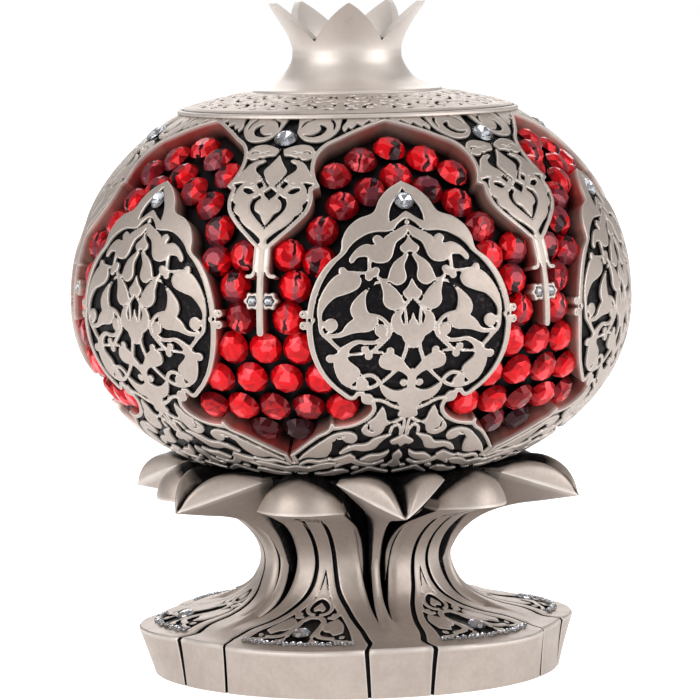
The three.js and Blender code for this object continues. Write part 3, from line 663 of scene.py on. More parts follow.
class Socket:
    """An output of a node, with arithmetic that adds Math nodes to its tree."""

    def __init__(self, finish, output):
        self.finish, self.output = finish, output

    def math(self, operation, *others):
        """One Math node on this socket's tree, with the others as its inputs."""
        return self.finish.node("ShaderNodeMath", {"operation": operation}, dict(enumerate(others)))

    def __add__(self, other):
        return self.math("ADD", self, other)

    def __sub__(self, other):
        return self.math("SUBTRACT", self, other)

    def __mul__(self, other):
        return self.math("MULTIPLY", self, other)

    def __radd__(self, other):
        return self.math("ADD", other, self)

    def __rsub__(self, other):
        return self.math("SUBTRACT", other, self)

    def __rmul__(self, other):
        return self.math("MULTIPLY", other, self)

    def clamp(self, low=0.0, high=1.0):
        """This value spread from low..high to 0..1 and held there."""
        ranged = {0: self, 1: low, 2: high, 3: 0.0, 4: 1.0}
        return self.finish.node("ShaderNodeMapRange", {"clamp": True}, ranged)


class Finish:
    """A material being built up from nodes."""

    def __init__(self, name):
        self.material = bpy.data.materials.new(name)
        self.material.use_nodes = True
        self.tree = self.material.node_tree
        self.shader = self.tree.nodes["Principled BSDF"]
        coordinates = self.tree.nodes.new("ShaderNodeTexCoord")
        self.place = Socket(self, coordinates.outputs["Object"])

    def node(self, kind, settings=None, values=None, output=0):
        """Adds a node: its settings first, then the values or links of its sockets."""
        added = self.tree.nodes.new(kind)
        for key, value in (settings or {}).items():
            setattr(added, key, value)
        self.connect(added, values or {})
        return Socket(self, added.outputs[output])

    def connect(self, added, values):
        """Set the sockets of a node from numbers, colours or links."""
        for key, value in values.items():
            if isinstance(value, Socket):
                self.tree.links.new(value.output, added.inputs[key])
            else:
                added.inputs[key].default_value = value

    def noise(self, scale, detail=3.0, roughness=0.55):
        """Smooth noise on the piece's own coordinates."""
        values = {"Vector": self.place, "Scale": scale, "Detail": detail, "Roughness": roughness}
        return self.node("ShaderNodeTexNoise", {}, values)

    def attribute(self, name):
        """A value that the mesh holds at its points or faces."""
        return self.node("ShaderNodeAttribute", {"attribute_name": name}, {}, "Fac")

    def mix(self, share, one, two):
        """One colour turning into another."""
        one = (*one, 1.0) if isinstance(one, tuple) else one
        two = (*two, 1.0) if isinstance(two, tuple) else two
        return self.node("ShaderNodeMix", {"data_type": "RGBA"}, {0: share, 6: one, 7: two}, 2)

    def bump(self, height, strength, distance):
        """A normal tilted by a height, with the strength and depth of the relief."""
        values = {"Height": height, "Strength": strength, "Distance": distance}
        return self.node("ShaderNodeBump", {}, values)

    def set(self, **values):
        """Set the sockets of the material's shader."""
        named = {key.replace("_", " "): value for key, value in values.items()}
        for key, value in named.items():
            if isinstance(value, tuple) and len(value) == 3:
                named[key] = (*value, 1.0)
        self.connect(self.shader, named)
        return self.material


SILVER = (0.475, 0.41, 0.368)
SILVER_RUBBED_AND_LIT = (0.78, 0.725, 0.68)
SILVER_SHADE = (0.35, 0.295, 0.258)
BLACKENING = (0.009, 0.008, 0.009)
BLACK_DUST = (0.055, 0.048, 0.050)
BED_WALL = (0.34, 0.20, 0.165)
BED_BLUSH = (0.44, 0.065, 0.055)
RUBY = (0.66, 0.003, 0.008)
RUBY_PAINTED_SHADE = (0.15, 0.002, 0.005)
RUBY_PAINTED_DARK = (0.022, 0.002, 0.004)
RUBY_PAINTED_REFLECTION = (0.15, 0.045, 0.062)
RUBY_PAINTED_HIGHLIGHT = (0.95, 0.10, 0.12)


def silver_finish(name, shade=0.35, bright=0.0):
    """Satin champagne-silver paint: cloudy tone, fine cast grain, bright rubbed edges with painted
    highlight, and blackening that gathers in the carving and runs down the walls of the seed bed. Shade
    darkens the tone and bright lightens it, which makes the crown's lighter copy, painted light for its
    highlights. It reads the attributes for rubbed edges with painted highlight, cavity and bed."""
    finish = Finish(name)
    cloud = finish.noise(38.0, 4.0)
    grain = finish.noise(900.0, 2.0)
    mottle = finish.noise(210.0, 3.0)
    tone = (cloud - 0.5) * 1.1 + (mottle - 0.5) * 0.7 + (grain - 0.5) * 0.7 + shade
    colour = finish.mix(tone.clamp(0.0, 1.0), SILVER, SILVER_SHADE)
    if bright:
        colour = finish.mix(bright, colour, SILVER_RUBBED_AND_LIT)
    # Lighter edges: rubbed paint, lightened further as painted highlight on rims and lips.
    wear_and_sheen = finish.attribute("wear_and_sheen")
    worn_and_sheen = (wear_and_sheen * (0.55 + 0.9 * mottle)).clamp(0.25, 1.0)
    colour = finish.mix(worn_and_sheen * 0.75, colour, SILVER_RUBBED_AND_LIT)
    cavity = finish.attribute("cavity")
    dark = (cavity + (mottle - 0.5) * 0.35).clamp(0.28, 0.62)
    black = finish.mix(grain.clamp(0.5, 0.75) * mottle.clamp(0.4, 0.65), BLACKENING, BLACK_DUST)
    colour = finish.mix(dark, colour, black)
    depth = finish.attribute("bed")
    blush = finish.mix(cloud.clamp(0.45, 0.62), BED_WALL, BED_BLUSH)
    colour = finish.mix((depth + (mottle - 0.5) * 0.12).clamp(0.02, 0.18), colour, blush)
    colour = finish.mix((depth + (mottle - 0.5) * 0.5).clamp(0.4, 0.85), colour, BLACKENING)
    rough = 0.42 + 0.12 * mottle + dark * 0.08
    height = grain * 0.35 + mottle * 0.65
    finish.set(Base_Color=colour, Roughness=rough, Metallic=0.72 + dark * 0.2,
               Normal=finish.bump(height, 0.22, 0.0004))
    return finish.material


def stone_finish(name, bright, deep, dark, smoky_painted_reflection, painted_highlight):
    """Foiled cut stone under a hard clear gloss: bright colour that turns deep from facet to facet and
    towards its lower part, as painted reflection and painted shade. A painted highlight, a pinkish patch of
    reflected lamp light, lies on its upper half. Where the foil would look away, a dark band of painted
    reflection crosses the stone, with a smoky painted reflection in its lower part. The attributes side and
    rise are places on the stone, look says how wide its painted band is, and the stone's painted shade
    attribute darkens the whole of it."""
    finish = Finish(name)
    side, rise = finish.attribute("side"), finish.attribute("rise")
    look, painted_stone_shade, facet = finish.attribute("look"), finish.attribute("painted_stone_shade"), finish.attribute("facet")
    patch = finish.noise(330.0, 1.5)
    # Bent and away place a dark band of painted reflection, where the foil would mirror dark surroundings,
    # and low places a smoky painted reflection in its lower part.
    bent = side + (patch - 0.5) * 1.1
    away = bent.math("ABSOLUTE", bent)
    band = (look * 0.42 - away - facet * 0.12).clamp(0.0, 0.05)
    low = (0.1 - rise - (patch - 0.5) * 1.2).clamp(0.0, 0.08)
    wide = (look * 0.66 - away - facet * 0.2).clamp(0.0, 0.05)
    # Facet tones, the stone's painted shade and a lower part that turns deeper: painted reflection and
    # painted shade inside the stone.
    colour = finish.mix((facet + painted_stone_shade - rise * 0.22).clamp(0.15, 1.0), bright, deep)
    # Middle and high place the painted highlight: a pinkish patch of reflected lamp light on the stone's
    # upper half.
    middle = (0.36 - away - facet * 0.1).clamp(0.0, 0.07)
    high = (rise + (patch - 0.5) * 0.8 - 0.02).clamp(0.0, 0.1)
    colour = finish.mix(middle * high * 0.55, colour, painted_highlight)
    colour = finish.mix(wide * low * 0.7, colour, smoky_painted_reflection)
    colour = finish.mix(band * (1.0 - low * 0.8), colour, dark)
    # Painted shade over the whole stone where its shade attribute is high.
    colour = finish.mix(painted_stone_shade.clamp(0.8, 1.3), colour, dark)
    finish.set(Base_Color=colour, Roughness=0.24, Metallic=0.45, Coat_Weight=0.38, Coat_Roughness=0.05,
               Specular_IOR_Level=0.0)
    return finish.material


def crystal_finish(name):
    """Clear cut glass, see-through, with the faintest cloud in its gloss."""
    finish = Finish(name)
    cloud = finish.noise(700.0, 1.0)
    finish.set(Base_Color=finish.mix(cloud, (0.985, 0.99, 1.0), (0.95, 0.96, 0.97)), Roughness=0.02,
               Transmission_Weight=1.0, IOR=1.52)
    return finish.material


def foil_finish(name):
    """The bright foil on a stone's pointed back, with a painted shade of its own on each of its facets,
    standing in for the reflections it throws back.
    """
    finish = Finish(name)
    shade = finish.mix(finish.attribute("facet"), (0.97, 0.97, 0.98), (0.55, 0.56, 0.60))
    finish.set(Base_Color=shade, Roughness=0.12, Metallic=1.0)
    return finish.material


make_camera()
make_world()
silver = silver_finish("antiqued_silver")
# A lighter copy of the silver for the crown: painted light that stands in for its bright highlights.
silver_lit_copy = silver_finish("silver_painted_lighter", 0.12, 0.55)
red_foil = stone_finish("red_stone_cut", RUBY, RUBY_PAINTED_SHADE, RUBY_PAINTED_DARK, RUBY_PAINTED_REFLECTION, RUBY_PAINTED_HIGHLIGHT)
clear_cut = crystal_finish("clear_crystal_cut")
bright_foil = foil_finish("crystal_foil")

# ---------------------------------------------------------------- fruit: shell, bed, stones


def shell_pieces(prefix, sheet, first, depth=6.6):
    """Six copies of a relief sheet around the fruit, each a closed plate standing in the bed."""
    data, tris = sheet
    height = fruit_height(data[:, ALONG])
    lift = relief_heights(data[:, RAISED], data[:, EDGE], GROUND)
    points, normal = fruit_points(data[:, AZIMUTH], height, lift)
    top, faces = closed_plate(points, tris, lambda rim: points[rim] - normal[rim] * depth)
    hidden = len(top) - len(points)
    # Painted shade: the raised surface darkens towards the fruit's foot, where it lies in shadow.
    painted_low_shade = np.clip((63 - height) / 8, 0, 1) * 0.36
    cavity = np.maximum(np.clip(data[:, RAISED] / WALL_RUN, 0, 1), painted_low_shade)
    cavity = np.concatenate([cavity, np.zeros(hidden)])
    # Lighter edges of the relief: rubbed paint and painted highlight on its rims.
    near = np.exp(-np.minimum(np.abs(data[:, RAISED]), -data[:, EDGE]) / 0.16)
    wear_and_sheen = np.concatenate([np.where(data[:, RAISED] <= 0, near, 0), np.zeros(hidden)])
    bed = np.concatenate([np.zeros(len(points)), np.ones(hidden)])
    for k in range(SECTORS):
        turned = turn_about_axis(top, first + k * SECTOR)
        attributes = {"cavity": cavity, "wear_and_sheen": wear_and_sheen, "bed": bed}
        make_piece(f"{prefix}_{k + 1}", turned, faces, silver, attributes,
                   replaces=("fruit",))


shell_pieces("medallion", medallion_sheet(), 0.0)
shell_pieces("pendant", pendant_sheet(), HALF_SECTOR)


def welded(points, faces):
    """Points that lie together made one, quads halved, and triangles that vanish left out. Also gives
    the first point of each group."""
    _, first, index = np.unique(np.round(points, 4), axis=0, return_index=True, return_inverse=True)
    if faces.shape[1] == 4:
        faces = np.concatenate([faces[:, [0, 1, 2]], faces[:, [0, 2, 3]]])
    tris = index.reshape(-1)[faces]
    keep = (tris[:, 0] != tris[:, 1]) & (tris[:, 1] != tris[:, 2]) & (tris[:, 2] != tris[:, 0])
    return points[first], tris[keep], first


def make_seed_bed():
    """The body inside the shell, whose surface is the floor of the seed bed."""
    height = fruit_height(np.linspace(fruit_arc(58.0), fruit_arc(FRUIT_TOP), 70))
    out, up = fruit_normal(height)
    radius, level = fruit_radius(height) - BED_DEPTH * out, height - BED_DEPTH * up
    radius = np.concatenate([[0, 36, 38.5], radius, [42.9, 43, 0]])
    level = np.concatenate([[55.05, 55.05, 55.3], level, [147.0, 147.25, 147.25]])
    points, faces = lathe(radius, level, 180)
    points, faces, _ = welded(points, faces)
    flat = {"cavity": np.ones(len(points)), "wear_and_sheen": np.zeros(len(points)), "bed": np.ones(len(points))}
    make_piece("seed_bed", points, faces, silver, flat, replaces=("fruit",))


make_seed_bed()


def cut_stone(radius, height, point):
    """A round stone with a pointed back: an eight-sided table, eight facets that slope from it, then
    twenty-four small ones down to the girdle, and sixteen that meet at the point below it. Returns its
    points, its triangles, and which of these are its back."""
    eight, sixteen = np.arange(8) * 45.0, np.arange(16) * 22.5
    rings = [(eight, 0.46 * radius, height), (eight + 22.5, 0.78 * radius, 0.78 * height),
             (sixteen, radius, 0.2 * height), (np.zeros(1), 0.0, -point)]
    points = [np.stack([r * np.cos(np.radians(a)), r * np.sin(np.radians(a)), 0 * a + z], 1)
              for a, r, z in rings]
    i, k = np.arange(8), np.arange(16)
    table, star, girdle = i, 8 + i, 16 + 2 * i
    tris = [np.stack([np.zeros(6, int), np.arange(1, 7), np.arange(2, 8)], 1),
            np.stack([table, star, (i + 1) % 8], 1),
            np.stack([table, 8 + (i - 1) % 8, star], 1),
            np.stack([8 + (i - 1) % 8, girdle, star], 1),
            np.stack([star, girdle, girdle + 1], 1),
            np.stack([star, girdle + 1, 16 + (2 * i + 2) % 16], 1),
            np.stack([16 + k, np.full(16, 32), 16 + (k + 1) % 16], 1)]
    tris = np.concatenate(tris)
    return np.concatenate(points), tris, (tris == 32).any(1)


def set_stones(name, places, size, material, replaces=(), tilt=0.0, foil=None, moods=()):
    """Cut stones set on a surface: each place is (middle, outward direction). A stone's facets each get a
    painted shade, darker towards the girdle, for reflections in the stone, and the stone its own spin and
    small tilt.
    Side and rise are a place's distances across and up the stone as shares of its radius. Moods are values
    for each stone."""
    shape, tris, back = cut_stone(*size)
    # Painted shade: facets darker towards the girdle.
    rim = np.clip(1 - shape[tris, 2].mean(axis=1) / (0.8 * size[1]), 0, 1) * 0.75
    points, facets, sides, rises = [], [], [], []
    for middle, normal in places:
        normal = unit(normal + rng.normal(0, tilt, 3))
        across = unit(np.cross(normal, (0.13, 0.21, 0.97)))
        spin = rng.uniform(0, 2 * math.pi)
        along = np.cross(normal, across)
        first = across * math.cos(spin) + along * math.sin(spin)
        second = np.cross(normal, first)
        offset = shape @ np.stack([first, second, normal])
        points.append(middle + offset)
        facets.append(rng.uniform(0, 0.5, len(tris)) + rim)
        sides.append(offset @ across / size[0] + rng.uniform(-0.3, 0.3))
        rises.append(offset @ np.cross(across, normal) / size[0] * rng.choice((1, 1, -1))
                     + rng.uniform(-0.15, 0.15))
    count = len(places)
    faces = (tris[None] + (np.arange(count) * len(shape))[:, None, None]).reshape(-1, 3)
    attributes = {"facet": np.concatenate(facets), "side": np.concatenate(sides),
                  "rise": np.concatenate(rises)}
    attributes |= {key: np.repeat(values, len(shape)) for key, values in dict(moods).items()}
    backs = (foil, np.tile(back, count)) if foil else None
    points = np.concatenate(points)
    return make_piece(name, points, faces, material, attributes, None, replaces, backs)


RED_RADIUS, RED_HEIGHT, RED_LIFT, RED_POINT = 4.25, 3.0, -4.5, 1.2
SEEDS_BY_PENDANT = [
    (0, 90.6), (9.2, 90.6), (4.8, 82.1), (14.2, 82.1), (0, 73.8), (9.1, 73.8), (18, 73.8), (4.8, 67.2),
    (6.6, 99), (8.3, 107.2), (6, 115.6), (14.4, 113.8), (14.4, 121.8),
]
SEEDS_BY_MEDALLION = [(0, 142.4), (8.4, 139.7), (16, 135.8), (0, 135.4), (7.6, 131.8), (15.6, 128.2)]


def make_seed_stones():
    """The seed stones in rows by medallions and pendants, with their bands and shades."""
    places = []
    for first, marks in ((HALF_SECTOR, SEEDS_BY_PENDANT), (0.0, SEEDS_BY_MEDALLION)):
        for k in range(SECTORS):
            for side in (-1, 1):
                for along, height in marks:
                    if along == 0 and side < 0:
                        continue
                    turn = first + k * SECTOR + side * degrees_beside(along, height)
                    point, normal = fruit_points(np.array([turn]), np.array([height]), np.array([RED_LIFT]))
                    places.append((point[0], normal[0]))
    level = np.array([middle[2] for middle, _ in places])
    # How wide each stone's band of painted reflection is: wider on the stones above the middle.
    look = np.clip((level - 94) / 10, 0, 1) * rng.uniform(0.2, 1.05, len(places))
    # Painted shade on the stones: a few darker ones at random, and the lowest row dark as if shaded in the
    # bed.
    painted_stone_shade = rng.uniform(0, 1, len(places)) ** 5 * 0.9 + np.clip((72.5 - level) / 2, 0, 1) * 1.15
    set_stones("seed_stones", places, (RED_RADIUS, RED_HEIGHT, RED_POINT), red_foil, tilt=0.07,
               moods={"look": look, "painted_stone_shade": painted_stone_shade})


make_seed_stones()


# Crystals on the fruit: radius, rise, lift from the surface, azimuth of the first, height, and places
# beside that azimuth.
FRUIT_CRYSTALS = {
    "medallion": (2.5, 1.3, -0.55, 0.0, MEDALLION_CRYSTAL, (0.0,)),
    "pendant": (3.0, 1.5, -0.45, HALF_SECTOR, PENDANT_CRYSTAL, (0.0,)),
    "rosette": (1.2, 0.7, -1.0, HALF_SECTOR, ROSETTE, (-ROSETTE_SIDE, ROSETTE_SIDE)),
}


def make_crystals():
    """The clear crystals, cut in the places that the CAD crystals have."""
    for kind, (radius, rise, lift, first, level, sides) in FRUIT_CRYSTALS.items():
        places, nodes = [], []
        for k in range(SECTORS):
            for side in sides:
                turn = first + k * SECTOR + degrees_beside(side, level)
                point, normal = fruit_points(np.array([turn]), np.array([level]), np.array([lift]))
                places.append((point[0], normal[0]))
                tail = "" if len(sides) == 1 else ("_left" if side < 0 else "_right")
                nodes.append(f"crystal_{kind}_{k + 1}{tail}")
        size = (radius, rise, 0.23 * radius)
        set_stones(f"crystals_{kind}", places, size, clear_cut, nodes, 0.02, bright_foil)


make_crystals()

# ---------------------------------------------------------------- stand

# The stand's profile under a broad rib, from the plinth's foot up: [radius, height].
STAND_PROFILE = [
    (53.4, 0), (54, 9), (54.3, 12.2), (53.7, 12.9), (50.6, 13.4), (44.5, 15.5), (37.5, 17.0), (32.1, 19.0),
    (28.6, 21.5), (26.6, 24.6), (25.4, 28.2), (25.3, 31), (26, 33.6), (27.8, 36.6), (31, 39.8), (35, 42.6),
    (39.5, 46), (42, 50), (42.5, 54.6),
]
PLINTH_BOW, PLINTH_FOOT_BOW, PLINTH_NARROW = 4.0, 0.4, 7.5
STAND_LINE = curve(STAND_PROFILE, steps=12, corner=40.0)
STAND_ARCS = np.concatenate([[0.0], np.cumsum(np.linalg.norm(np.diff(STAND_LINE, axis=0), axis=1))])
STAND_SLOPE = unit(np.gradient(STAND_LINE, STAND_ARCS, axis=0))


def stand_arc(height):
    """Distance along the stand's profile to a height."""
    return np.interp(height, STAND_LINE[:, 1], STAND_ARCS)


def stand_points(azimuth, along, lift):
    """Points of the stand's surface and their normals: the profile turned about the axis, bowed out at
    the plinth between the flat narrow sectors. Azimuths are measured from a broad rib's middle."""
    radius = np.interp(along, STAND_ARCS, STAND_LINE[:, 0])
    height = np.interp(along, STAND_ARCS, STAND_LINE[:, 1])
    out = np.interp(along, STAND_ARCS, STAND_SLOPE[:, 1])
    up = -np.interp(along, STAND_ARCS, STAND_SLOPE[:, 0])
    share = np.abs(azimuth) / (HALF_SECTOR - PLINTH_NARROW)
    fade = np.clip((32 - along) / 18, 0, 1)
    rise = np.clip(along / 12.5, 0, 1)
    bow = (PLINTH_FOOT_BOW + (PLINTH_BOW - PLINTH_FOOT_BOW) * rise) * fade * fade * (3 - 2 * fade)
    bow = bow * np.maximum(1 - share**2, 0)
    normal = polar(azimuth, out, up)
    return polar(azimuth, radius + bow, height) + normal * lift[:, None], normal


# Edges of the gap beside a narrow rib: [height, degrees from the broad rib's middle to its near and
# far edge], and the lines cut down both sides of the broad rib's panel: [height, degrees].
RIB_GAP = [(17.4, 26.7, 27.1), (18.8, 26.1, 27.25), (20.6, 25.2, 27.35), (25, 22.9, 27.45),
           (31, 20.7, 27.4),
           (38.4, 17.8, 27.1), (46, 14.9, 26.8), (54.7, 12, 26.6), (58, 12, 26.6)]
PANEL_LINE = [(13.7, 21.9), (14.6, 21), (16.2, 19.4), (19.8, 13.6), (24, 8.2), (29, 5.9), (34, 5.3),
              (39.5, 4.9), (43, 4.4)]
PANEL_FIELD = [(0, 29.4), (0.7, 26.4), (1.35, 23.9), (2.9, 21.2), (5.6, 19), (9.4, 16.8), (13.4, 14.7),
               (14.2, 13.9), (0, 13.9)]
PANEL_MARKS = [
    ("heart", [(0, 27.6), (0.4, 25.8), (0.95, 24), (1.9, 22.7), (1.5, 22.1), (0.6, 22.5), (0, 22.2)]),
    ("stem", [(0, 22.3), (1.5, 21.8), (2.9, 20.6), (3.2, 19.5), (2.2, 18.7), (1, 18.5)], 0.5),
    ("stem", [(0, 18), (1.6, 17.9), (2.9, 17.3), (4, 16.6)], (0.6, 0.75, 0.4)),
    ("heart", [(0, 21), (0.8, 20.4), (1.6, 19.7), (1.1, 19.1), (0, 19.4)]),
    ("stem", [(3.2, 21.3), (4.6, 20), (5.7, 18.9), (5, 17.9), (3.7, 18)], 0.55),
    ("bead", [(4.6, 18.5)], 0.7),
    ("leaf", [(4.1, 17), (6.2, 17.8), (8.4, 16.9), (10.2, 15.8), (8.2, 15.4), (6.4, 15.9), (5, 16)]),
    ("stem", [(3.2, 16.4), (4.6, 15.3), (6.6, 15), (8.4, 14.9)], 0.6),
    ("bead", [(10.6, 15.1)], 0.7),
    ("leaf", [(3, 15.2), (4.4, 14.6), (6, 14.5), (4.6, 14.1), (3.2, 14.3)]),
    ("stem", [(2.8, 17), (3.1, 16.2), (3.1, 15.2)], 0.45),
    ("stem", [(9, 14.6), (11, 14.4), (12.6, 14.4)], 0.4),
]
GAP_DEPTH, LINE_DEPTH, PANEL_DEPTH = 7.0, 1.0, 0.8


# Heights on the foot of each panel's crystal and of the row of small ones below it.
FOOT_CRYSTAL, CRYSTAL_ROW = 15.6, 13.75


def stand_sheet():
    """A sector of the stand about a broad rib: plinth side, panel, rib, and the gaps beside it."""
    low_rows = np.array([0.0, 3, 6, 9, 11, 12])
    mid_rows = even_rows(12.5, float(stand_arc(29.6)), 0.62)
    high_rows = even_rows(float(stand_arc(29.6)) + 0.7, float(STAND_ARCS[-1]), 1.05)
    rows = np.concatenate([low_rows, mid_rows, high_rows])
    azimuth, along, tris = sheet_grid(HALF_SECTOR, rows, 98)
    radius = np.interp(along, STAND_ARCS, STAND_LINE[:, 0])
    height = np.interp(along, STAND_ARCS, STAND_LINE[:, 1])
    x = np.radians(azimuth) * radius

    def chart(mark_height, degrees):
        arc = stand_arc(np.array(mark_height))
        return np.stack([np.radians(degrees) * np.interp(arc, STAND_ARCS, STAND_LINE[:, 0]), arc], 1)

    gap = np.array(RIB_GAP)
    outline = np.concatenate([chart(gap[:, 0], gap[:, 1]), chart(gap[::-1, 0], gap[::-1, 2])])
    gaps = outline_distance(curve(outline, closed=True, steps=4, corner=50), np.abs(x), along)
    line = np.array(PANEL_LINE)
    path = curve(chart(line[:, 0], line[:, 1]), steps=5)
    widths = np.interp(np.linspace(0, 1, len(path)), (0, 0.15, 0.8, 1), (0.66, 0.64, 0.62, 0.6))
    lines = stroke_distance(path, widths, np.abs(x), along)
    side = np.array([(path[0, 0], path[0, 1]), (path[0, 0] + 0.5, 12.5), (path[0, 0] + 0.9, -3)])
    lines = np.minimum(lines, stroke_distance(side, (0.62, 0.6, 0.45), np.abs(x), along))
    field = draw([("heart", PANEL_FIELD)], x, along, stand_arc)
    marks = draw(PANEL_MARKS, x, along, stand_arc)
    seat = np.hypot(x, along - stand_arc(FOOT_CRYSTAL)) - 2.6
    panel = np.minimum(np.maximum(field, -marks), seat)
    raised = -np.minimum(np.minimum(gaps, lines), panel)
    data = np.stack([azimuth, along, np.full(len(x), -REACH), raised, gaps, panel], 1)
    for level in (-0.3, 0.0, WALL_RUN / 2, WALL_RUN):
        data, tris = split(data, tris, RAISED, level)
    return data, tris


def stand_pieces():
    """Six sectors of the stand, each closed by walls that run in to the axis."""
    data, tris = stand_sheet()
    raised, gaps, panel = data[:, RAISED], data[:, GAPS], data[:, PANEL]
    along = data[:, ALONG]
    deep = np.clip((along - 18) / 22, 0, 1)
    depth = np.where(gaps < 0.3, 1.2 + GAP_DEPTH * deep, np.where(panel < 0.2, PANEL_DEPTH, LINE_DEPTH))
    wall = np.clip(raised / WALL_RUN, 0, 1)
    sunk = np.where(gaps < 0.3, np.where(wall <= 0.5, 0.16 * wall, 0.08 + 1.84 * (wall - 0.5)), wall)
    shoulder = np.clip((raised + 0.3) / 0.3, 0, 1)
    round_gap = np.clip((2.2 - gaps) / 2.2, 0, 1) ** 2 * deep * 0.9
    offset = HALF_SECTOR - np.abs(data[:, AZIMUTH])
    keel = 1.3 * np.maximum(1 - (offset / 3.0) ** 2, 0) * np.clip((along - 20) / 16, 0, 1)
    lift = -depth * sunk - 0.12 * shoulder**2 * (1 - wall) - round_gap * (1 - wall) + keel * (1 - wall)
    points, normal = stand_points(data[:, AZIMUTH], along, lift)

    def inward(rim):
        return points[rim] * (0.01, 0.01, 1)

    top, faces = closed_plate(points, tris, inward)
    hidden = len(top) - len(points)
    height = points[:, 2]
    # Darker on the stand's top under the petal heads and in the dish round the fruit: black paint and
    # painted shade.
    under = np.clip((height - 43) / 5, 0, 1) * np.clip((offset - 3) / 2, 0, 1)
    lip = np.clip((raised + 0.3) / 0.3, 0, 1) * 0.34 * (panel > 0.2)
    inside = np.clip((height - 50) / 3, 0, 1)
    cavity = np.maximum(np.maximum(lip, np.clip(wall * 2, 0, 1)), np.maximum(under, inside))
    cavity = np.concatenate([cavity, np.full(hidden, 0.3)])
    near = np.where(raised <= 0, np.exp(-np.abs(raised) / 0.3), 0) * 0.8
    rim_wear = np.exp(-((along - stand_arc(12.4)) / 0.7) ** 2)
    wear_and_sheen = np.concatenate([np.maximum(near, rim_wear), np.zeros(hidden)])
    for k in range(SECTORS):
        turned = turn_about_axis(top, HALF_SECTOR + k * SECTOR)
        make_piece(f"stand_sector_{k + 1}", turned, faces, silver,
                   {"cavity": cavity, "wear_and_sheen": wear_and_sheen}, replaces=("stand",))


stand_pieces()

DISH = [(0, 54.6), (40.4, 54.6), (43.4, 55.9), (47.4, 57.9), (54.4, 61.9), (70, 75)]
PETAL = {"half": 11.8, "reach": 53.0, "corner": 45.1, "lip": 46.7, "crown": 9.9, "root": 40.0}
LEAF = {
    "half": 14.2, "tip reach": 61.8, "tip": 46.7, "corner reach": 44.6, "corner": 54.2, "back reach": 40.5,
}


def below_fruit(sideways, reach, height):
    """Heights held down to the hollow that the fruit's foot stands in."""
    dish = np.array(DISH)
    return np.minimum(height, np.interp(np.hypot(sideways, reach), dish[:, 0], dish[:, 1]))


def placed(sideways, reach, height):
    """Points of a petal or leaf at azimuth 0: its reach from the axis points along -Y."""
    return np.stack([sideways, -reach, height], -1)


# The undersides' middle profiles, from inside the stem out to the lip or the tip: [reach, height].
PETAL_FACE = [(23.5, 25.5), (23.7, 28.5), (23.9, 31), (24.6, 34), (26.7, 37.4), (30.7, 40.7),
              (36.5, 43), (43, 44.8),
              (53, 46.7)]
LEAF_FACE = [(24.6, 27.5), (26.3, 31.4), (28.7, 35.6), (31.8, 38.8), (36.4, 41.6), (43.5, 43.9),
             (52, 45.2), (61.8, 46.7)]


def face_along(profile, share):
    """Reach and height at a share of the way along a smoothed profile."""
    line = curve(profile, steps=6)
    steps = np.concatenate([[0.0], np.cumsum(np.linalg.norm(np.diff(line, axis=0), axis=1))])
    along = share * steps[-1]
    return np.interp(along, steps, line[:, 0]), np.interp(along, steps, line[:, 1])


def petal_place(side, up):
    """A broad petal: a face that rises from the rib in a hollow curve to the lip (up to 1), and a dome
    that rolls from the lip back to the root (1 to 2); it narrows and lowers towards its sides."""
    share = np.clip(up, 0, 1)
    turn = np.clip(up - 1, 0, 1) * math.pi / 2
    lip_reach = PETAL["reach"] - (PETAL["reach"] - PETAL["corner"]) * np.abs(side) ** 2.2
    width = 8.9 + (PETAL["half"] - 8.9) * share**1.3
    reach_here, face_height = face_along(PETAL_FACE, share)
    flat = np.sqrt(np.maximum(reach_here**2 - (width * side) ** 2, 1))
    flat = flat - 0.9 * np.clip(1 - width * (1 - np.abs(side)) / 2.2, 0, 1) ** 2 * (1 - share)
    blend = np.clip((share - 0.35) / 0.65, 0, 1) ** 2
    face_reach = flat + (reach_here * lip_reach / PETAL["reach"] - flat) * blend
    crown = PETAL["crown"] * np.sqrt(1 - 0.9 * side**2)
    dome_reach = PETAL["root"] + (lip_reach - PETAL["root"]) * np.cos(turn) ** 0.85
    dome_height = PETAL["lip"] + crown * np.sin(turn)
    dome_width = PETAL["half"] * (1 - 0.12 * np.sin(turn))
    on_dome = up > 1
    sideways = side * np.where(on_dome, dome_width, width)
    reach = np.where(on_dome, dome_reach, face_reach)
    return sideways, reach, np.where(on_dome, dome_height, face_height)


